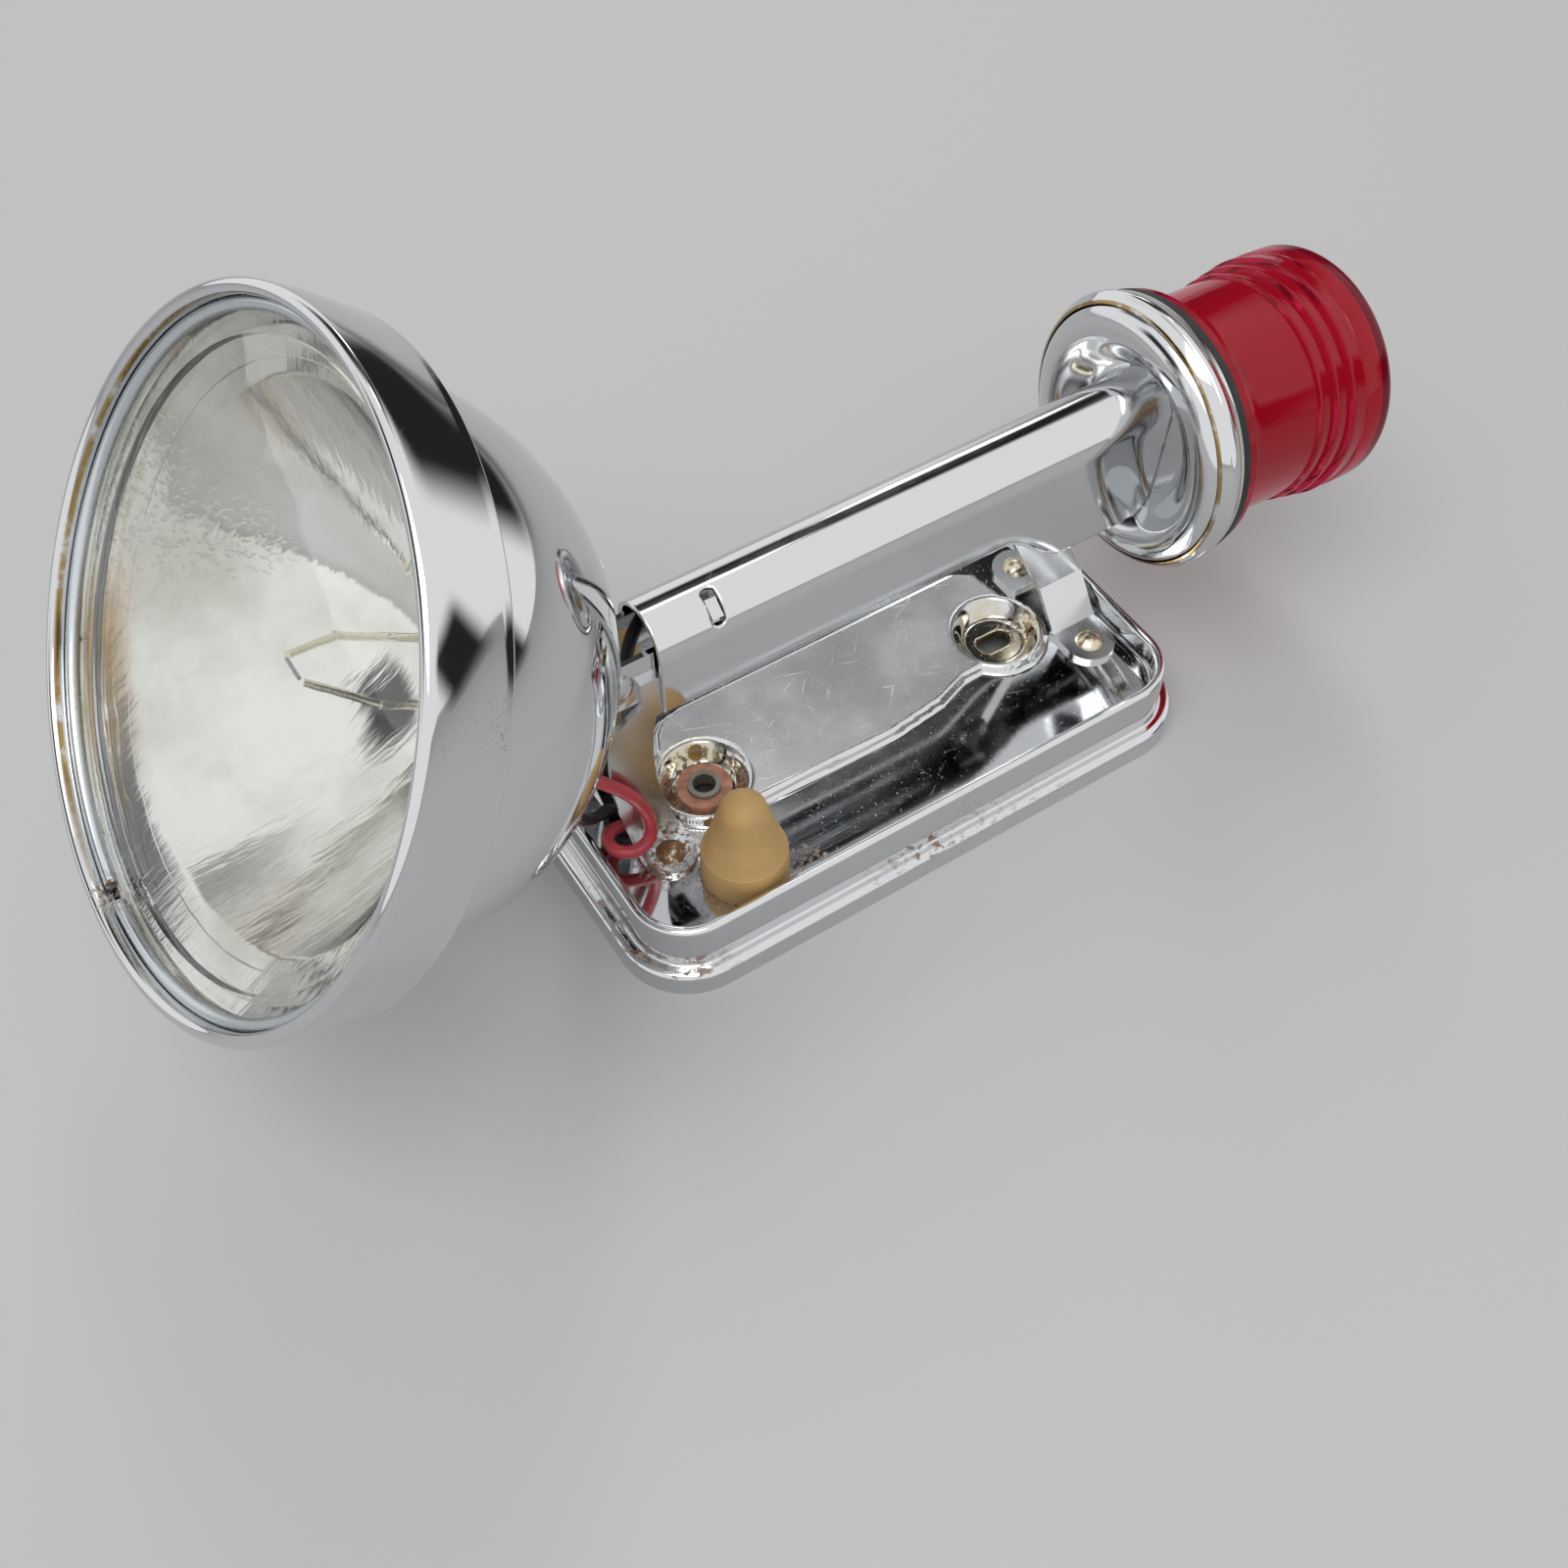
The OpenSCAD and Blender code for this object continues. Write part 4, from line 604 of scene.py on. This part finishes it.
# Base cap: rolled edge and pressed tray
def cap_edge():
    """Edge of the cap swept round a rectangle with round corners."""
    wall, ridge = WALL_INSET - WALL_FILLET, WALL_INSET + RIDGE_R
    outer = (
        [(0, 0)]
        + arc(SHOULDER_R, SKIRT_H - SHOULDER_R, SHOULDER_R, 180, 90, 10)
        + arc(wall, SKIRT_H + WALL_FILLET, WALL_FILLET, 270, 360, 8)
        + arc(ridge, RIDGE_Z - RIDGE_R, RIDGE_R, 180, 0, 20)
        + arc(TRAY_INSET, FLOOR_Z + FLOOR_FILLET, FLOOR_FILLET, 180, 270, 8)
    )
    inner = (
        arc(TRAY_INSET, FLOOR_Z + FLOOR_FILLET, FLOOR_FILLET + SHEET, 270, 180, 8)
        + arc(ridge, RIDGE_Z - RIDGE_R, RIDGE_R - SHEET, 0, 180, 10)
        + arc(wall, SKIRT_H + WALL_FILLET, WALL_FILLET + SHEET, 360, 270, 8)
        + arc(SHOULDER_R, SKIRT_H - SHOULDER_R, SHOULDER_R - SHEET, 90, 180, 8)
        + [(SHEET, 0)]
    )
    section = outer + inner
    stations = []
    for cx, cy, start in ((1, 1, 0), (-1, 1, 90), (-1, -1, 180), (1, -1, 270)):
        centre = (cx * (CAP_L / 2 - CAP_R), cy * (CAP_W / 2 - CAP_R))
        for k in range(25):
            stations.append((centre, math.radians(start + 90 * k / 24)))
    verts = [
        (c[0] + (CAP_R - i) * math.cos(a), c[1] + (CAP_R - i) * math.sin(a), z)
        for c, a in stations
        for i, z in section
    ]
    n, m = len(section), len(stations)
    faces = [
        [s * n + p, ((s + 1) % m) * n + p, ((s + 1) % m) * n + (p + 1) % n, s * n + (p + 1) % n]
        for s in range(m)
        for p in range(n)
    ]
    return make_piece("cap_edge", verts, faces, "lantern", 40, UPRIGHT)


def capsule(u, v, x, half, r):
    """Signed distance to an obround along u."""
    du = u - np.clip(u, x - half, x + half)
    return np.hypot(du, v) - r


def rounded_box(u, v, half_u, half_v, r):
    """Signed distance to a rectangle with round corners."""
    qu, qv = np.abs(u) - half_u + r, np.abs(v) - half_v + r
    return np.hypot(np.maximum(qu, 0), np.maximum(qv, 0)) + np.minimum(np.maximum(qu, qv), 0) - r


def polygon_distance(u, v, points):
    """Signed distance to a polygon, negative inside."""
    best = np.full(np.shape(u), 1e9)
    sign = np.ones(np.shape(u))
    for (ax, ay), (bx, by) in zip(points, points[1:] + points[:1]):
        ex, ey = bx - ax, by - ay
        t = np.clip(((u - ax) * ex + (v - ay) * ey) / (ex * ex + ey * ey), 0, 1)
        best = np.minimum(best, np.hypot(u - ax - t * ex, v - ay - t * ey))
        crosses = ((ay > v) != (by > v)) & (u < (bx - ax) * (v - ay) / (by - ay + 1e-12) + ax)
        sign = np.where(crosses, -sign, sign)
    return best * sign


def smooth(value, low, high):
    """Smooth step from 0 at low to 1 at high."""
    t = np.clip((value - low) / (high - low), 0, 1)
    return t * t * (3 - 2 * t)


def tray_height(u, v):
    """Height of the tray's upper face, with its plateau and two dished wells."""
    front, rear = WELL_R + COLLAR_FRONT, WELL_R + COLLAR_REAR
    outline = [
        (POST_FRONT_X - 5.6, front * 0.8), (POST_FRONT_X - 5.6, PLATEAU_FAR * 0.58),
        (POST_FRONT_X - 3.4, PLATEAU_FAR * 0.8), (POST_FRONT_X, PLATEAU_FAR * 0.95),
        (POST_FRONT_X + 6, PLATEAU_FAR), (POST_REAR_X + 2, PLATEAU_FAR),
        (POST_REAR_X + 6.5, PLATEAU_FAR * 0.85), (POST_REAR_X + 8, rear * 0.72),
        (POST_REAR_X, -rear * 0.6), (POST_REAR_X - 14, -PLATEAU_NEAR * 0.63),
        (POST_REAR_X - 22, -PLATEAU_NEAR * 0.86), (POST_REAR_X - 36, -PLATEAU_NEAR),
        (POST_FRONT_X, -front * 0.98),
    ]
    plan = polygon_distance(u, v, outline)
    plan = np.minimum(plan, np.hypot(u - POST_FRONT_X, v) - front)
    plan = np.minimum(plan, np.hypot(u - POST_REAR_X, v) - rear)
    z = FLOOR_Z + PLATEAU_H * smooth(-plan, -0.3, 1.0)
    for x in (POST_FRONT_X, POST_REAR_X):
        r = np.hypot(u - x, v)
        dish = PLATEAU_Z - WELL_DEPTH * smooth(-r, -WELL_R, -(WELL_FLOOR_R - 0.5))
        z = np.where(r < WELL_R, dish, z)
    return z


def tray():
    """Pressed tray floor inside the edge, with its post, switch and lead holes."""
    half_u, half_v = CAP_L / 2 - TRAY_INSET, CAP_W / 2 - TRAY_INSET
    margin = 2 * GRID_STEP
    us = np.arange(-half_u - margin, half_u + margin, GRID_STEP)
    vs = np.arange(-half_v - margin, half_v + margin, GRID_STEP)

    def sdf(u, v):
        """Distance inside the tray's edge and outside its holes."""
        inside = -rounded_box(u, v, half_u, half_v, CAP_R - TRAY_INSET)
        for hole in (
            capsule(u, v, POST_REAR_X, SLOT_L / 2 - POST_R, POST_R),
            capsule(u, v, POST_FRONT_X, 0, BUSHING_HOLE_R),
            capsule(u, v, GROMMET_X, 0, GROMMET_HOLE_R),
            np.hypot(u - SWITCH_X, v - SWITCH_Y) - SWITCH_HOLE_R,
        ):
            inside = np.minimum(inside, hole)
        return inside

    def lift(u, v):
        """Points of the tray's upper face."""
        return np.stack([u, v, tray_height(u, v)], 1)

    return grid_sheet("tray", us, vs, sdf, lift, "lantern")


dress(cap_edge(), "skirt", "chrome")
dress(tray(), "cap", "chrome", "base_plate")


# Channel handle with its lobes and tongue slot
def dish_depth_at(radius):
    """Axial place of the flasher cup's dished back at a radius."""
    s = np.clip((radius - DISH_FLOOR_R) / (CUP_R - CREST_W - DISH_FLOOR_R), 0, 1)
    return DISH_FLOOR - DISH_DEPTH * (1 - np.cos(math.pi * s)) / 2


def handle():
    """Handle skin: walls and crown unrolled to one grid of length and girth."""
    half = HANDLE_W / 2
    wall = CROWN_Z - HANDLE_LOW
    deep = CROWN_Z - LOBE_LOW
    turn = math.pi * half
    step = GRID_STEP
    us = np.arange(HANDLE_FRONT, CUP_X + 9, step)
    vs = np.arange(-deep - turn / 2 - step, deep + turn / 2 + 2 * step, step)

    def low_edge(u):
        """Depth of the walls below the crown's arc, at a length."""
        s = np.clip((u - LOBE_START) / (LOBE_FULL - LOBE_START), 0, 1)
        return wall + (deep - wall) * (1 - np.cos(math.pi * s)) / 2

    def on_crown(v):
        """The part of the girth that lies on the crown's arc."""
        return np.clip(v, -turn / 2, turn / 2)

    def across(v):
        """Place across the handle at a girth."""
        return half * np.sin(on_crown(v) / half)

    def heights(v):
        """Height at a girth."""
        girth = on_crown(v)
        return CROWN_Z + half * np.cos(girth / half) - (np.abs(v) - np.abs(girth))

    def dish_reach(v):
        """Length at which the handle meets the cup's dish."""
        rise = (heights(v) - CUP_Z) / math.cos(DROOP)
        dish = dish_depth_at(np.hypot(rise, across(v)))
        return CUP_X + (dish + rise * math.sin(DROOP)) / math.cos(DROOP)

    def sdf(u, v):
        """Distance inside the handle's edges and outside its tongue slot."""
        inside = turn / 2 + low_edge(u) - np.abs(v)
        inside = np.minimum(inside, dish_reach(v) - u)
        inside = np.minimum(inside, u - HANDLE_FRONT)
        slot_v = -math.radians(SLOT_ANGLE) * half
        slot = capsule(v - slot_v, u - SLOT_X, 0, (TONGUE_L - TONGUE_W) / 2, TONGUE_W / 2)
        return np.minimum(inside, slot)

    def lift(u, v):
        """Points of the handle's outer face."""
        return np.stack([u, across(v), heights(v)], 1)

    return grid_sheet("handle_skin", us, vs, sdf, lift, "lantern")


dress(handle(), "chrome", "chrome", "handle")


# Lamp head
def bowl_curve(radius, depth, n):
    """Bowl section from the flat back to its widest ring."""
    start = math.asin(BOWL_FLAT_R / BOWL_R)
    angles = np.linspace(start, math.pi / 2, n + 1)
    return [(radius * math.sin(a), RIM_REAR - depth * math.cos(a)) for a in angles]


def head_bowl():
    """Bowl with a flat back and a flange that carries the lamp."""
    outer = bowl_curve(BOWL_R, BOWL_DEPTH, 60)
    inner = bowl_curve(BOWL_R - SHEET, BOWL_DEPTH - SHEET, 40)[::-1]
    flange_z = RIM_REAR + FLANGE_STEP
    flange_r = RIM_REAR_R - SHEET - FIT_LOOSE
    profile = [(0, outer[0][1])] + outer
    profile += [(BOWL_R, flange_z - SHEET), (flange_r, flange_z - SHEET), (flange_r, flange_z)]
    profile += [(BOWL_R - SHEET, flange_z)] + inner + [(0, inner[-1][1])]
    return revolve("bowl_skin", profile, HEAD, "lamp_head")


def head_rim():
    """Rim with a bead at the rear, a swelling side and a round lip over the lamp."""
    lip = (RIM_R - RIM_OPEN_R) / 2
    ring_z1 = LENS_Z1 + RING_WIRE + 2 * FIT_RUN
    swell, rise = RIM_R - RIM_REAR_R, RIM_DEPTH - RIM_FOOT - lip
    bead_r, inner_r, catch_r = RIM_REAR_R - RIM_BEAD, RIM_REAR_R - SHEET, RIM_REAR_R - RIM_TURN_IN
    side = [
        (RIM_REAR_R + swell * math.sin(math.pi / 2 * s), RIM_REAR + RIM_FOOT + rise * s)
        for s in np.linspace(0, 1, 20)
    ]
    profile = [(catch_r, RIM_REAR + RIM_BEAD), (RIM_REAR_R - 1.6, RIM_REAR), (bead_r, RIM_REAR)]
    profile += arc(bead_r, RIM_REAR + RIM_BEAD, RIM_BEAD, 270, 360, 5) + side
    profile += arc(RIM_R - lip, RIM_FRONT - lip, lip, 10, 180, 20)
    profile += [(RIM_OPEN_R, ring_z1), (RIM_R - 0.4 - SHEET, ring_z1), (inner_r, RIM_REAR + 4.5)]
    profile += [(inner_r, RIM_REAR + 2.6), (catch_r, RIM_REAR + 2.6)]
    return revolve("rim_skin", profile, HEAD, "lamp_head", 240)


def reflector():
    """Parabolic glass reflector with its flange."""
    rim, back, bend = REFLECTOR_RIM_R, REFLECTOR_BACK, REFLECTOR_BEND
    profile = [(r, back + r * r / bend) for r in np.linspace(0, rim, 40)]
    profile += [(LAMP_R, LAMP_Z0), (LAMP_R, LENS_Z0)]
    profile += [(r, back + GLASS + r * r / bend) for r in np.linspace(rim - GLASS, 0, 60)]
    return revolve("reflector_skin", profile, HEAD, "lamp_head")


def lens():
    """Domed front glass on its edge."""
    edge, base = LAMP_R - LENS_IN, LENS_Z1 - GLASS
    profile = [((edge - 1) * s, base + LENS_RISE * (1 - s * s)) for s in np.linspace(0, 1, 40)]
    profile += [(edge - 1, LENS_Z0), (LAMP_R, LENS_Z0), (LAMP_R, LENS_Z1)]
    profile += [(edge * s, LENS_Z1 + LENS_RISE * (1 - s * s)) for s in np.linspace(1, 0, 50)]
    return revolve("lens_skin", profile, HEAD, "lamp_head")


def retaining_ring():
    """Split ring of round wire under the rim's lip, with its gap at one side."""
    half_gap = RING_GAP / 2 / RING_MID_R
    angles = np.linspace(RING_GAP_TURN + half_gap, RING_GAP_TURN + 2 * math.pi - half_gap, 240)
    x, y = RING_MID_R * np.cos(angles), RING_MID_R * np.sin(angles)
    path = np.stack([x, y, np.full_like(angles, RING_Z)], 1)
    return tube("ring_wire", path, RING_WIRE / 2, "lamp_head", 18, HEAD)


dress(head_bowl(), "bowl", "chrome", "head_bowl")
dress(head_rim(), "rim", "chrome", "head_rim")
dress(reflector(), "silver", "silvered_glass", "lamp_reflector")
dress(lens(), "glass", "clear_glass", "lamp_lens")
dress(retaining_ring(), "ring", "plated_ring", "retaining_ring")


# Flasher
def flasher_cup():
    """Cup with a dished back, a round crest and a straight wall."""
    crest_r, crest = CUP_R - CREST_W, DISH_FLOOR - DISH_DEPTH
    back = [(r, dish_depth_at(r)) for r in np.linspace(DISH_FLOOR_R, crest_r, 40)]
    wall_z = CLAMP_DEPTH - SHEET - 0.4
    inner_w, inner_h = CREST_W - SHEET, CREST_H - SHEET
    quarter = arc(0, 0, 1, 276, 360, 20)
    profile = [(0, DISH_FLOOR)] + back
    profile += [(crest_r + CREST_W * x, crest + CREST_H * (1 + y)) for x, y in quarter]
    profile += [(CUP_R, wall_z), (CUP_R - SHEET, wall_z)]
    profile += [(crest_r + inner_w * x, crest + CREST_H + inner_h * y) for x, y in quarter[::-1]]
    profile += [(r, z + SHEET) for r, z in back[::-1]] + [(0, DISH_FLOOR + SHEET)]
    return revolve("cup_skin", profile, FLASHER, "lantern")


def clamp_ring():
    """Ring round the cup's wall, turned in over the gasket."""
    r0, neck = CUP_R + FIT_RUN, RED_NECK_R + 0.8
    profile = [(r0, 0.3), (r0 + 0.7, 0.6)]
    profile += arc(CLAMP_R - 1.2, CLAMP_DEPTH / 2, 1.2, -60, 60, 14)
    profile += [(CLAMP_R - 0.8, CLAMP_DEPTH - 0.6), (CLAMP_R - 1.2, CLAMP_DEPTH)]
    profile += [(neck, CLAMP_DEPTH), (neck, CLAMP_DEPTH - SHEET), (r0, CLAMP_DEPTH - SHEET)]
    return revolve("clamp_skin", profile, FLASHER, "lantern", sharp=50)


def red_lens():
    """Red lens: neck, flange, barrel and steps that widen towards its round end."""
    b, w, q = RED_BARREL_R, RED_WALL, RED_END_R
    foot_z, z0 = CLAMP_DEPTH - RED_NECK_L, CLAMP_DEPTH + GASKET_T
    z = z0 + RED_FLANGE_T
    e = z + RED_L
    tip = b + RED_STEPS * RED_STEP
    profile = [(RED_NECK_R - w, foot_z), (RED_NECK_R, foot_z), (RED_NECK_R, z0)]
    profile += [(RED_FLANGE_R, z0), (RED_FLANGE_R, z - 0.6), (RED_FLANGE_R - 0.6, z)]
    profile += [(b + 1.2, z + 0.8), (b + 0.3, z + 2.4), (b, z + 5), (b, e - 20.4)]
    for k in range(1, RED_STEPS + 1):
        foot = e - RED_STEPS_L + RED_PITCH * (k - 1)
        crest = b + k * RED_STEP
        profile += [(crest - 0.1, foot - 0.1), (crest, foot + 0.3)]
        profile += [(crest - 0.1, foot + 0.9), (crest - 0.35, foot + 3.6)]
    profile += [(tip - 0.1, e - 8), (tip, e - 7.6), (tip, e - q)]
    profile += arc(tip - q, e - q, q, 10, 90, 16) + [(0, e), (0, e - w)]
    profile += arc(tip - q, e - w - 0.4, 0.4, 90, 0, 4)
    profile += [(tip - w - 0.8, e - 9), (b - w, e - 20.4), (b - w, z - 1)]
    return revolve("red_lens_skin", profile, FLASHER, "lantern", sharp=24)


dress(flasher_cup(), "cup", "chrome", "flasher_cup")
dress(clamp_ring(), "clamp", "chrome", "clamp_ring")
dress(red_lens(), "red", "red_plastic", "red_lens")


# Switch boot and the spring inside it, each on a mesh of its own
def boot():
    """Rubber boot: a straight skirt, a cone and a round tip, hollow inside."""
    w, dome_h = BOOT_WALL, BOOT_TIP_R * BOOT_DOME
    tip = BOOT_H - dome_h
    dome = arc(0, 0, 1, 8, 90, 24)
    profile = [(BOOT_R - w, 0), (BOOT_R - 0.15, 0), (BOOT_R, 0.3)]
    profile += [(BOOT_R - 0.2, BOOT_SKIRT - 0.6)]
    profile += arc(BOOT_R - 0.9, BOOT_SKIRT - 0.5, 0.65, 0, 70, 5)
    profile += [(BOOT_TIP_R * x, tip + dome_h * y) for x, y in dome]
    profile += [((BOOT_TIP_R - w) * x, tip - 0.3 + (dome_h - w) * y) for x, y in dome[::-1]]
    profile += [(BOOT_R - 0.3 - w, BOOT_SKIRT - 0.4)]
    place = SWITCH @ Matrix.Translation((0, 0, FLOOR_Z))
    piece = revolve("boot_skin", profile, place, "lantern", 96, sharp=60)
    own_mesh(piece)
    return piece


def spring():
    """Coil round the plunger, between the switch and the plunger's head."""
    mean = PLUNGER_R + SPRING_WIRE / 2 + 0.5
    low = FLOOR_Z + SWITCH_H
    turns = np.linspace(0, SPRING_TURNS, 24 * SPRING_TURNS + 1)
    rise = (SPRING_H - SPRING_WIRE - 2 * FIT_RUN) * turns / SPRING_TURNS
    angle = 2 * math.pi * turns
    z = low + SPRING_WIRE / 2 + FIT_RUN + rise
    path = np.stack([mean * np.cos(angle), mean * np.sin(angle), z], 1)
    piece = tube("spring_coil", path, SPRING_WIRE / 2, "lantern", 8, SWITCH)
    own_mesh(piece)
    return piece


dress(boot(), "boot", "boot_rubber", "switch_boot")
dress(spring(), "spring_steel", "spring_steel", "plunger_spring")


# Leads, on the routes of the CAD part
def head_point(up, across, forward):
    """A point of the lamp head in millimetres from the cap's middle."""
    s, c = math.sin(TILT), math.cos(TILT)
    return (PIVOT_X + up * s - forward * c, across, PIVOT_Z + up * c + forward * s)


def flasher_point(forward):
    """A point on the flasher's axis in millimetres from the cap's middle."""
    return (CUP_X + forward * math.cos(DROOP), 0, CUP_Z - forward * math.sin(DROOP))


UNDER_Z = FLOOR_Z - SHEET - LEAD_R - FIT_RUN
BLADE_ROOT = REFLECTOR_BACK + (TERMINAL_Y - BLADE_HALF) ** 2 / REFLECTOR_BEND
BLADE_LOW = BLADE_ROOT - FIT_RUN - BLADE_L


def terminal_run(side):
    """Last points of a lamp lead, from the bowl's hole to the terminal on one side."""
    return [
        head_point(-19, side * 1.9, 11.5), head_point(-17, side * 3, 16.5),
        head_point(-11.5, side * 6.8, 20.4), head_point(-6.5, side * TERMINAL_Y, BLADE_LOW + 2),
        head_point(-3.5, side * TERMINAL_Y, BLADE_LOW + 2),
    ]


RED_ROUTE = [
    (SWITCH_X - 3.2, SWITCH_Y + 7.4, UNDER_Z), (-46, -9.5, UNDER_Z), (-51, -4.5, UNDER_Z),
    (-54.2, -2.4, 9.4), (-55, -2, 12), (-58.2, -2.4, 14.8), (-61.6, -4.4, 16.4),
    (-62, -8.2, 16.6), (-58.6, -10.6, 16.4), (-55, -10.4, 18.2), (-54.2, -9.4, 22.5),
    (-55.4, -9.2, 28), (-58.8, -9.2, 35), (-64.4, -8.2, 42), (-71, -5, 47.5),
    *terminal_run(-1),
]
BLACK_ROUTE = [
    (-53.5, 8.4, UNDER_Z), (-54.6, 5, UNDER_Z), (-55.4, 2.4, 9.4), (-55.6, 1.9, 12),
    (-58, 1.6, 16), (-63, -1, 20), (-67, -3, 26), (-71.5, -1, 36),
    *terminal_run(1),
]
FLASHER_ROUTE = [
    (-49, 4.6, UNDER_Z), (-51.2, 2.4, UNDER_Z), (-52.5, 0.8, 9.6), (-52.6, 0.6, 13),
    (-52, 0.4, 22), (-50, 0, 36), (-46.8, 0, 49), (-43.8, 0, 57), (-37.5, 0, 62.8),
    (-25, 0, 63.8), (0, 0, 63.8), (25, 0, 63.4), (45, 0, 62), (60, 0, 59.5),
    flasher_point(DISH_FLOOR - 1.2 - 5), flasher_point(DISH_FLOOR + SHEET),
]
for name, route, colour in (("red", RED_ROUTE, "red_wire"), ("black", BLACK_ROUTE, "black_wire")):
    lead = tube(f"{name}_lead", spline(route, LEAD_STEPS), LEAD_R, None)
    dress(lead, colour, colour, f"lead_{name}")
    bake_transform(lead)
cable = tube("flasher_cable", spline(FLASHER_ROUTE, LEAD_STEPS), LEAD_R, "lantern")
dress(cable, "black_wire", "black_wire", "lead_flasher")


# Materials of the CAD nodes that stay as they are
NODE_MATERIALS = {
    "post_bushing": "bushing", "fibre_washer": "fibre", "contact_strip": "brass",
    "ground_washer": "brass", "switch_body": "phenolic", "switch_nut": "plated_steel",
    "switch_plunger": "black_plastic", "front_bracket": "bracket", "rear_bracket": "bracket",
    "bracket_rivets": "rivet", "head_arm": "chrome", "pivot_pin": "plated_steel",
    "friction_washers": "spring_steel", "head_hinge": "chrome", "hinge_rivets": "plated_steel",
    "lamp_seat": "black_rubber", "filament_posts": "prong", "filament": "spring_steel",
    "lamp_terminals": "brass", "spade_connectors": "plated_steel",
    "tray_grommet": "black_rubber", "cup_plate": "chrome", "cup_rivets": "plated_steel",
    "lens_gasket": "black_rubber", "bulb_socket": "brass", "bulb_base": "brass",
    "bulb_glass": "glass",
}
for node, material in NODE_MATERIALS.items():
    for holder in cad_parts[node].material_slots:
        holder.material = MATERIALS[material]


# Studio: pale floor, soft lights and dark cards that only metal and glass show
TARGET = (0.0, 0.0, 0.06)
FLOOR_TONE, CARD_TONE = (0.52, 0.52, 0.525), (0.012, 0.012, 0.014)


def aim(thing, centre, target, axis):
    """Put a card or lamp at a place, with one of its axes towards a target."""
    thing.location = centre
    thing.rotation_euler = (Vector(target) - Vector(centre)).to_track_quat(axis, "Y").to_euler()


def plane(name, size, material):
    """Flat stage card on the floor of the row frame, in metres."""
    mesh = bpy.data.meshes.new(name)
    w, h = size[0] / 2, size[1] / 2
    mesh.from_pydata([(-w, -h, 0), (w, -h, 0), (w, h, 0), (-w, h, 0)], [], [(0, 1, 2, 3)])
    card = bpy.data.objects.new(name, mesh)
    bpy.context.scene.collection.objects.link(card)
    mesh.materials.append(material)
    return card


def soft_card(name, tone):
    """Dark card whose edges fade out, so that its reflection has no hard border."""
    s = Shader(name)
    s.set(Base_Color=(*tone, 1), Roughness=0.9)
    parts = s.node("ShaderNodeSeparateXYZ")
    s.link(s.node("ShaderNodeTexCoord").outputs["Generated"], parts.inputs["Vector"])
    fade = 1.0
    for axis in ("X", "Y"):
        away = s.away(parts.outputs[axis], 0.5)
        fade = s.times(fade, s.range(away, 0.22, 0.5, 1.0, 0.0))
    return s.set(Alpha=fade).mat


def area_light(name, centre, size, watts):
    """Rectangular lamp that faces the lantern and stays out of the glass."""
    data = bpy.data.lights.new(name, "AREA")
    data.shape, data.size, data.size_y, data.energy = "RECTANGLE", size[0], size[1], watts
    lamp = bpy.data.objects.new(name, data)
    bpy.context.scene.collection.objects.link(lamp)
    aim(lamp, centre, TARGET, "-Z")
    lamp.visible_transmission = False


plane("floor", (6, 6), Shader("pale_floor").set(Base_Color=(*FLOOR_TONE, 1), Roughness=0.8).mat)
dark = soft_card("dark_card", CARD_TONE)
for name, centre, size in (
    ("card_back", (0.35, 0.75, 0.85), (1.7, 0.8)),
    ("card_right", (1.1, -0.75, 0.20), (0.7, 0.5)),
    ("card_far_right", (1.0, 0.62, 0.34), (1.5, 0.8)),
    ("card_left", (-1.0, 0.45, 0.75), (1.1, 0.7)),
):
    card = plane(name, size, dark)
    aim(card, centre, TARGET, "Z")
    card.visible_camera = False
    card.visible_shadow = False
    card.visible_diffuse = False
area_light("key", (-0.5, -0.35, 1.3), (1.2, 0.8), 9)
area_light("rim_light", (0.6, 0.9, 1.0), (0.25, 1.0), 4)

# White background for the camera, metal and glass, and a lower light level for the rest
LIGHT_LEVEL, SEEN_LEVEL = 0.55, 1.0
world = bpy.data.worlds.new("studio")
bpy.context.scene.world = world
world.use_nodes = True
nodes, links = world.node_tree.nodes, world.node_tree.links
background = nodes["Background"]
background.inputs["Color"].default_value = (1, 1, 1, 1)
rays = nodes.new("ShaderNodeLightPath").outputs
seen = rays["Is Camera Ray"]
for ray in ("Is Glossy Ray", "Is Transmission Ray"):
    either = nodes.new("ShaderNodeMath")
    either.operation = "MAXIMUM"
    links.new(seen, either.inputs[0])
    links.new(rays[ray], either.inputs[1])
    seen = either.outputs["Value"]
level = nodes.new("ShaderNodeMapRange")
links.new(seen, level.inputs["Value"])
level.inputs["To Min"].default_value = LIGHT_LEVEL
level.inputs["To Max"].default_value = SEEN_LEVEL
links.new(level.outputs["Result"], background.inputs["Strength"])

bpy.context.scene.view_settings.view_transform = "Standard"
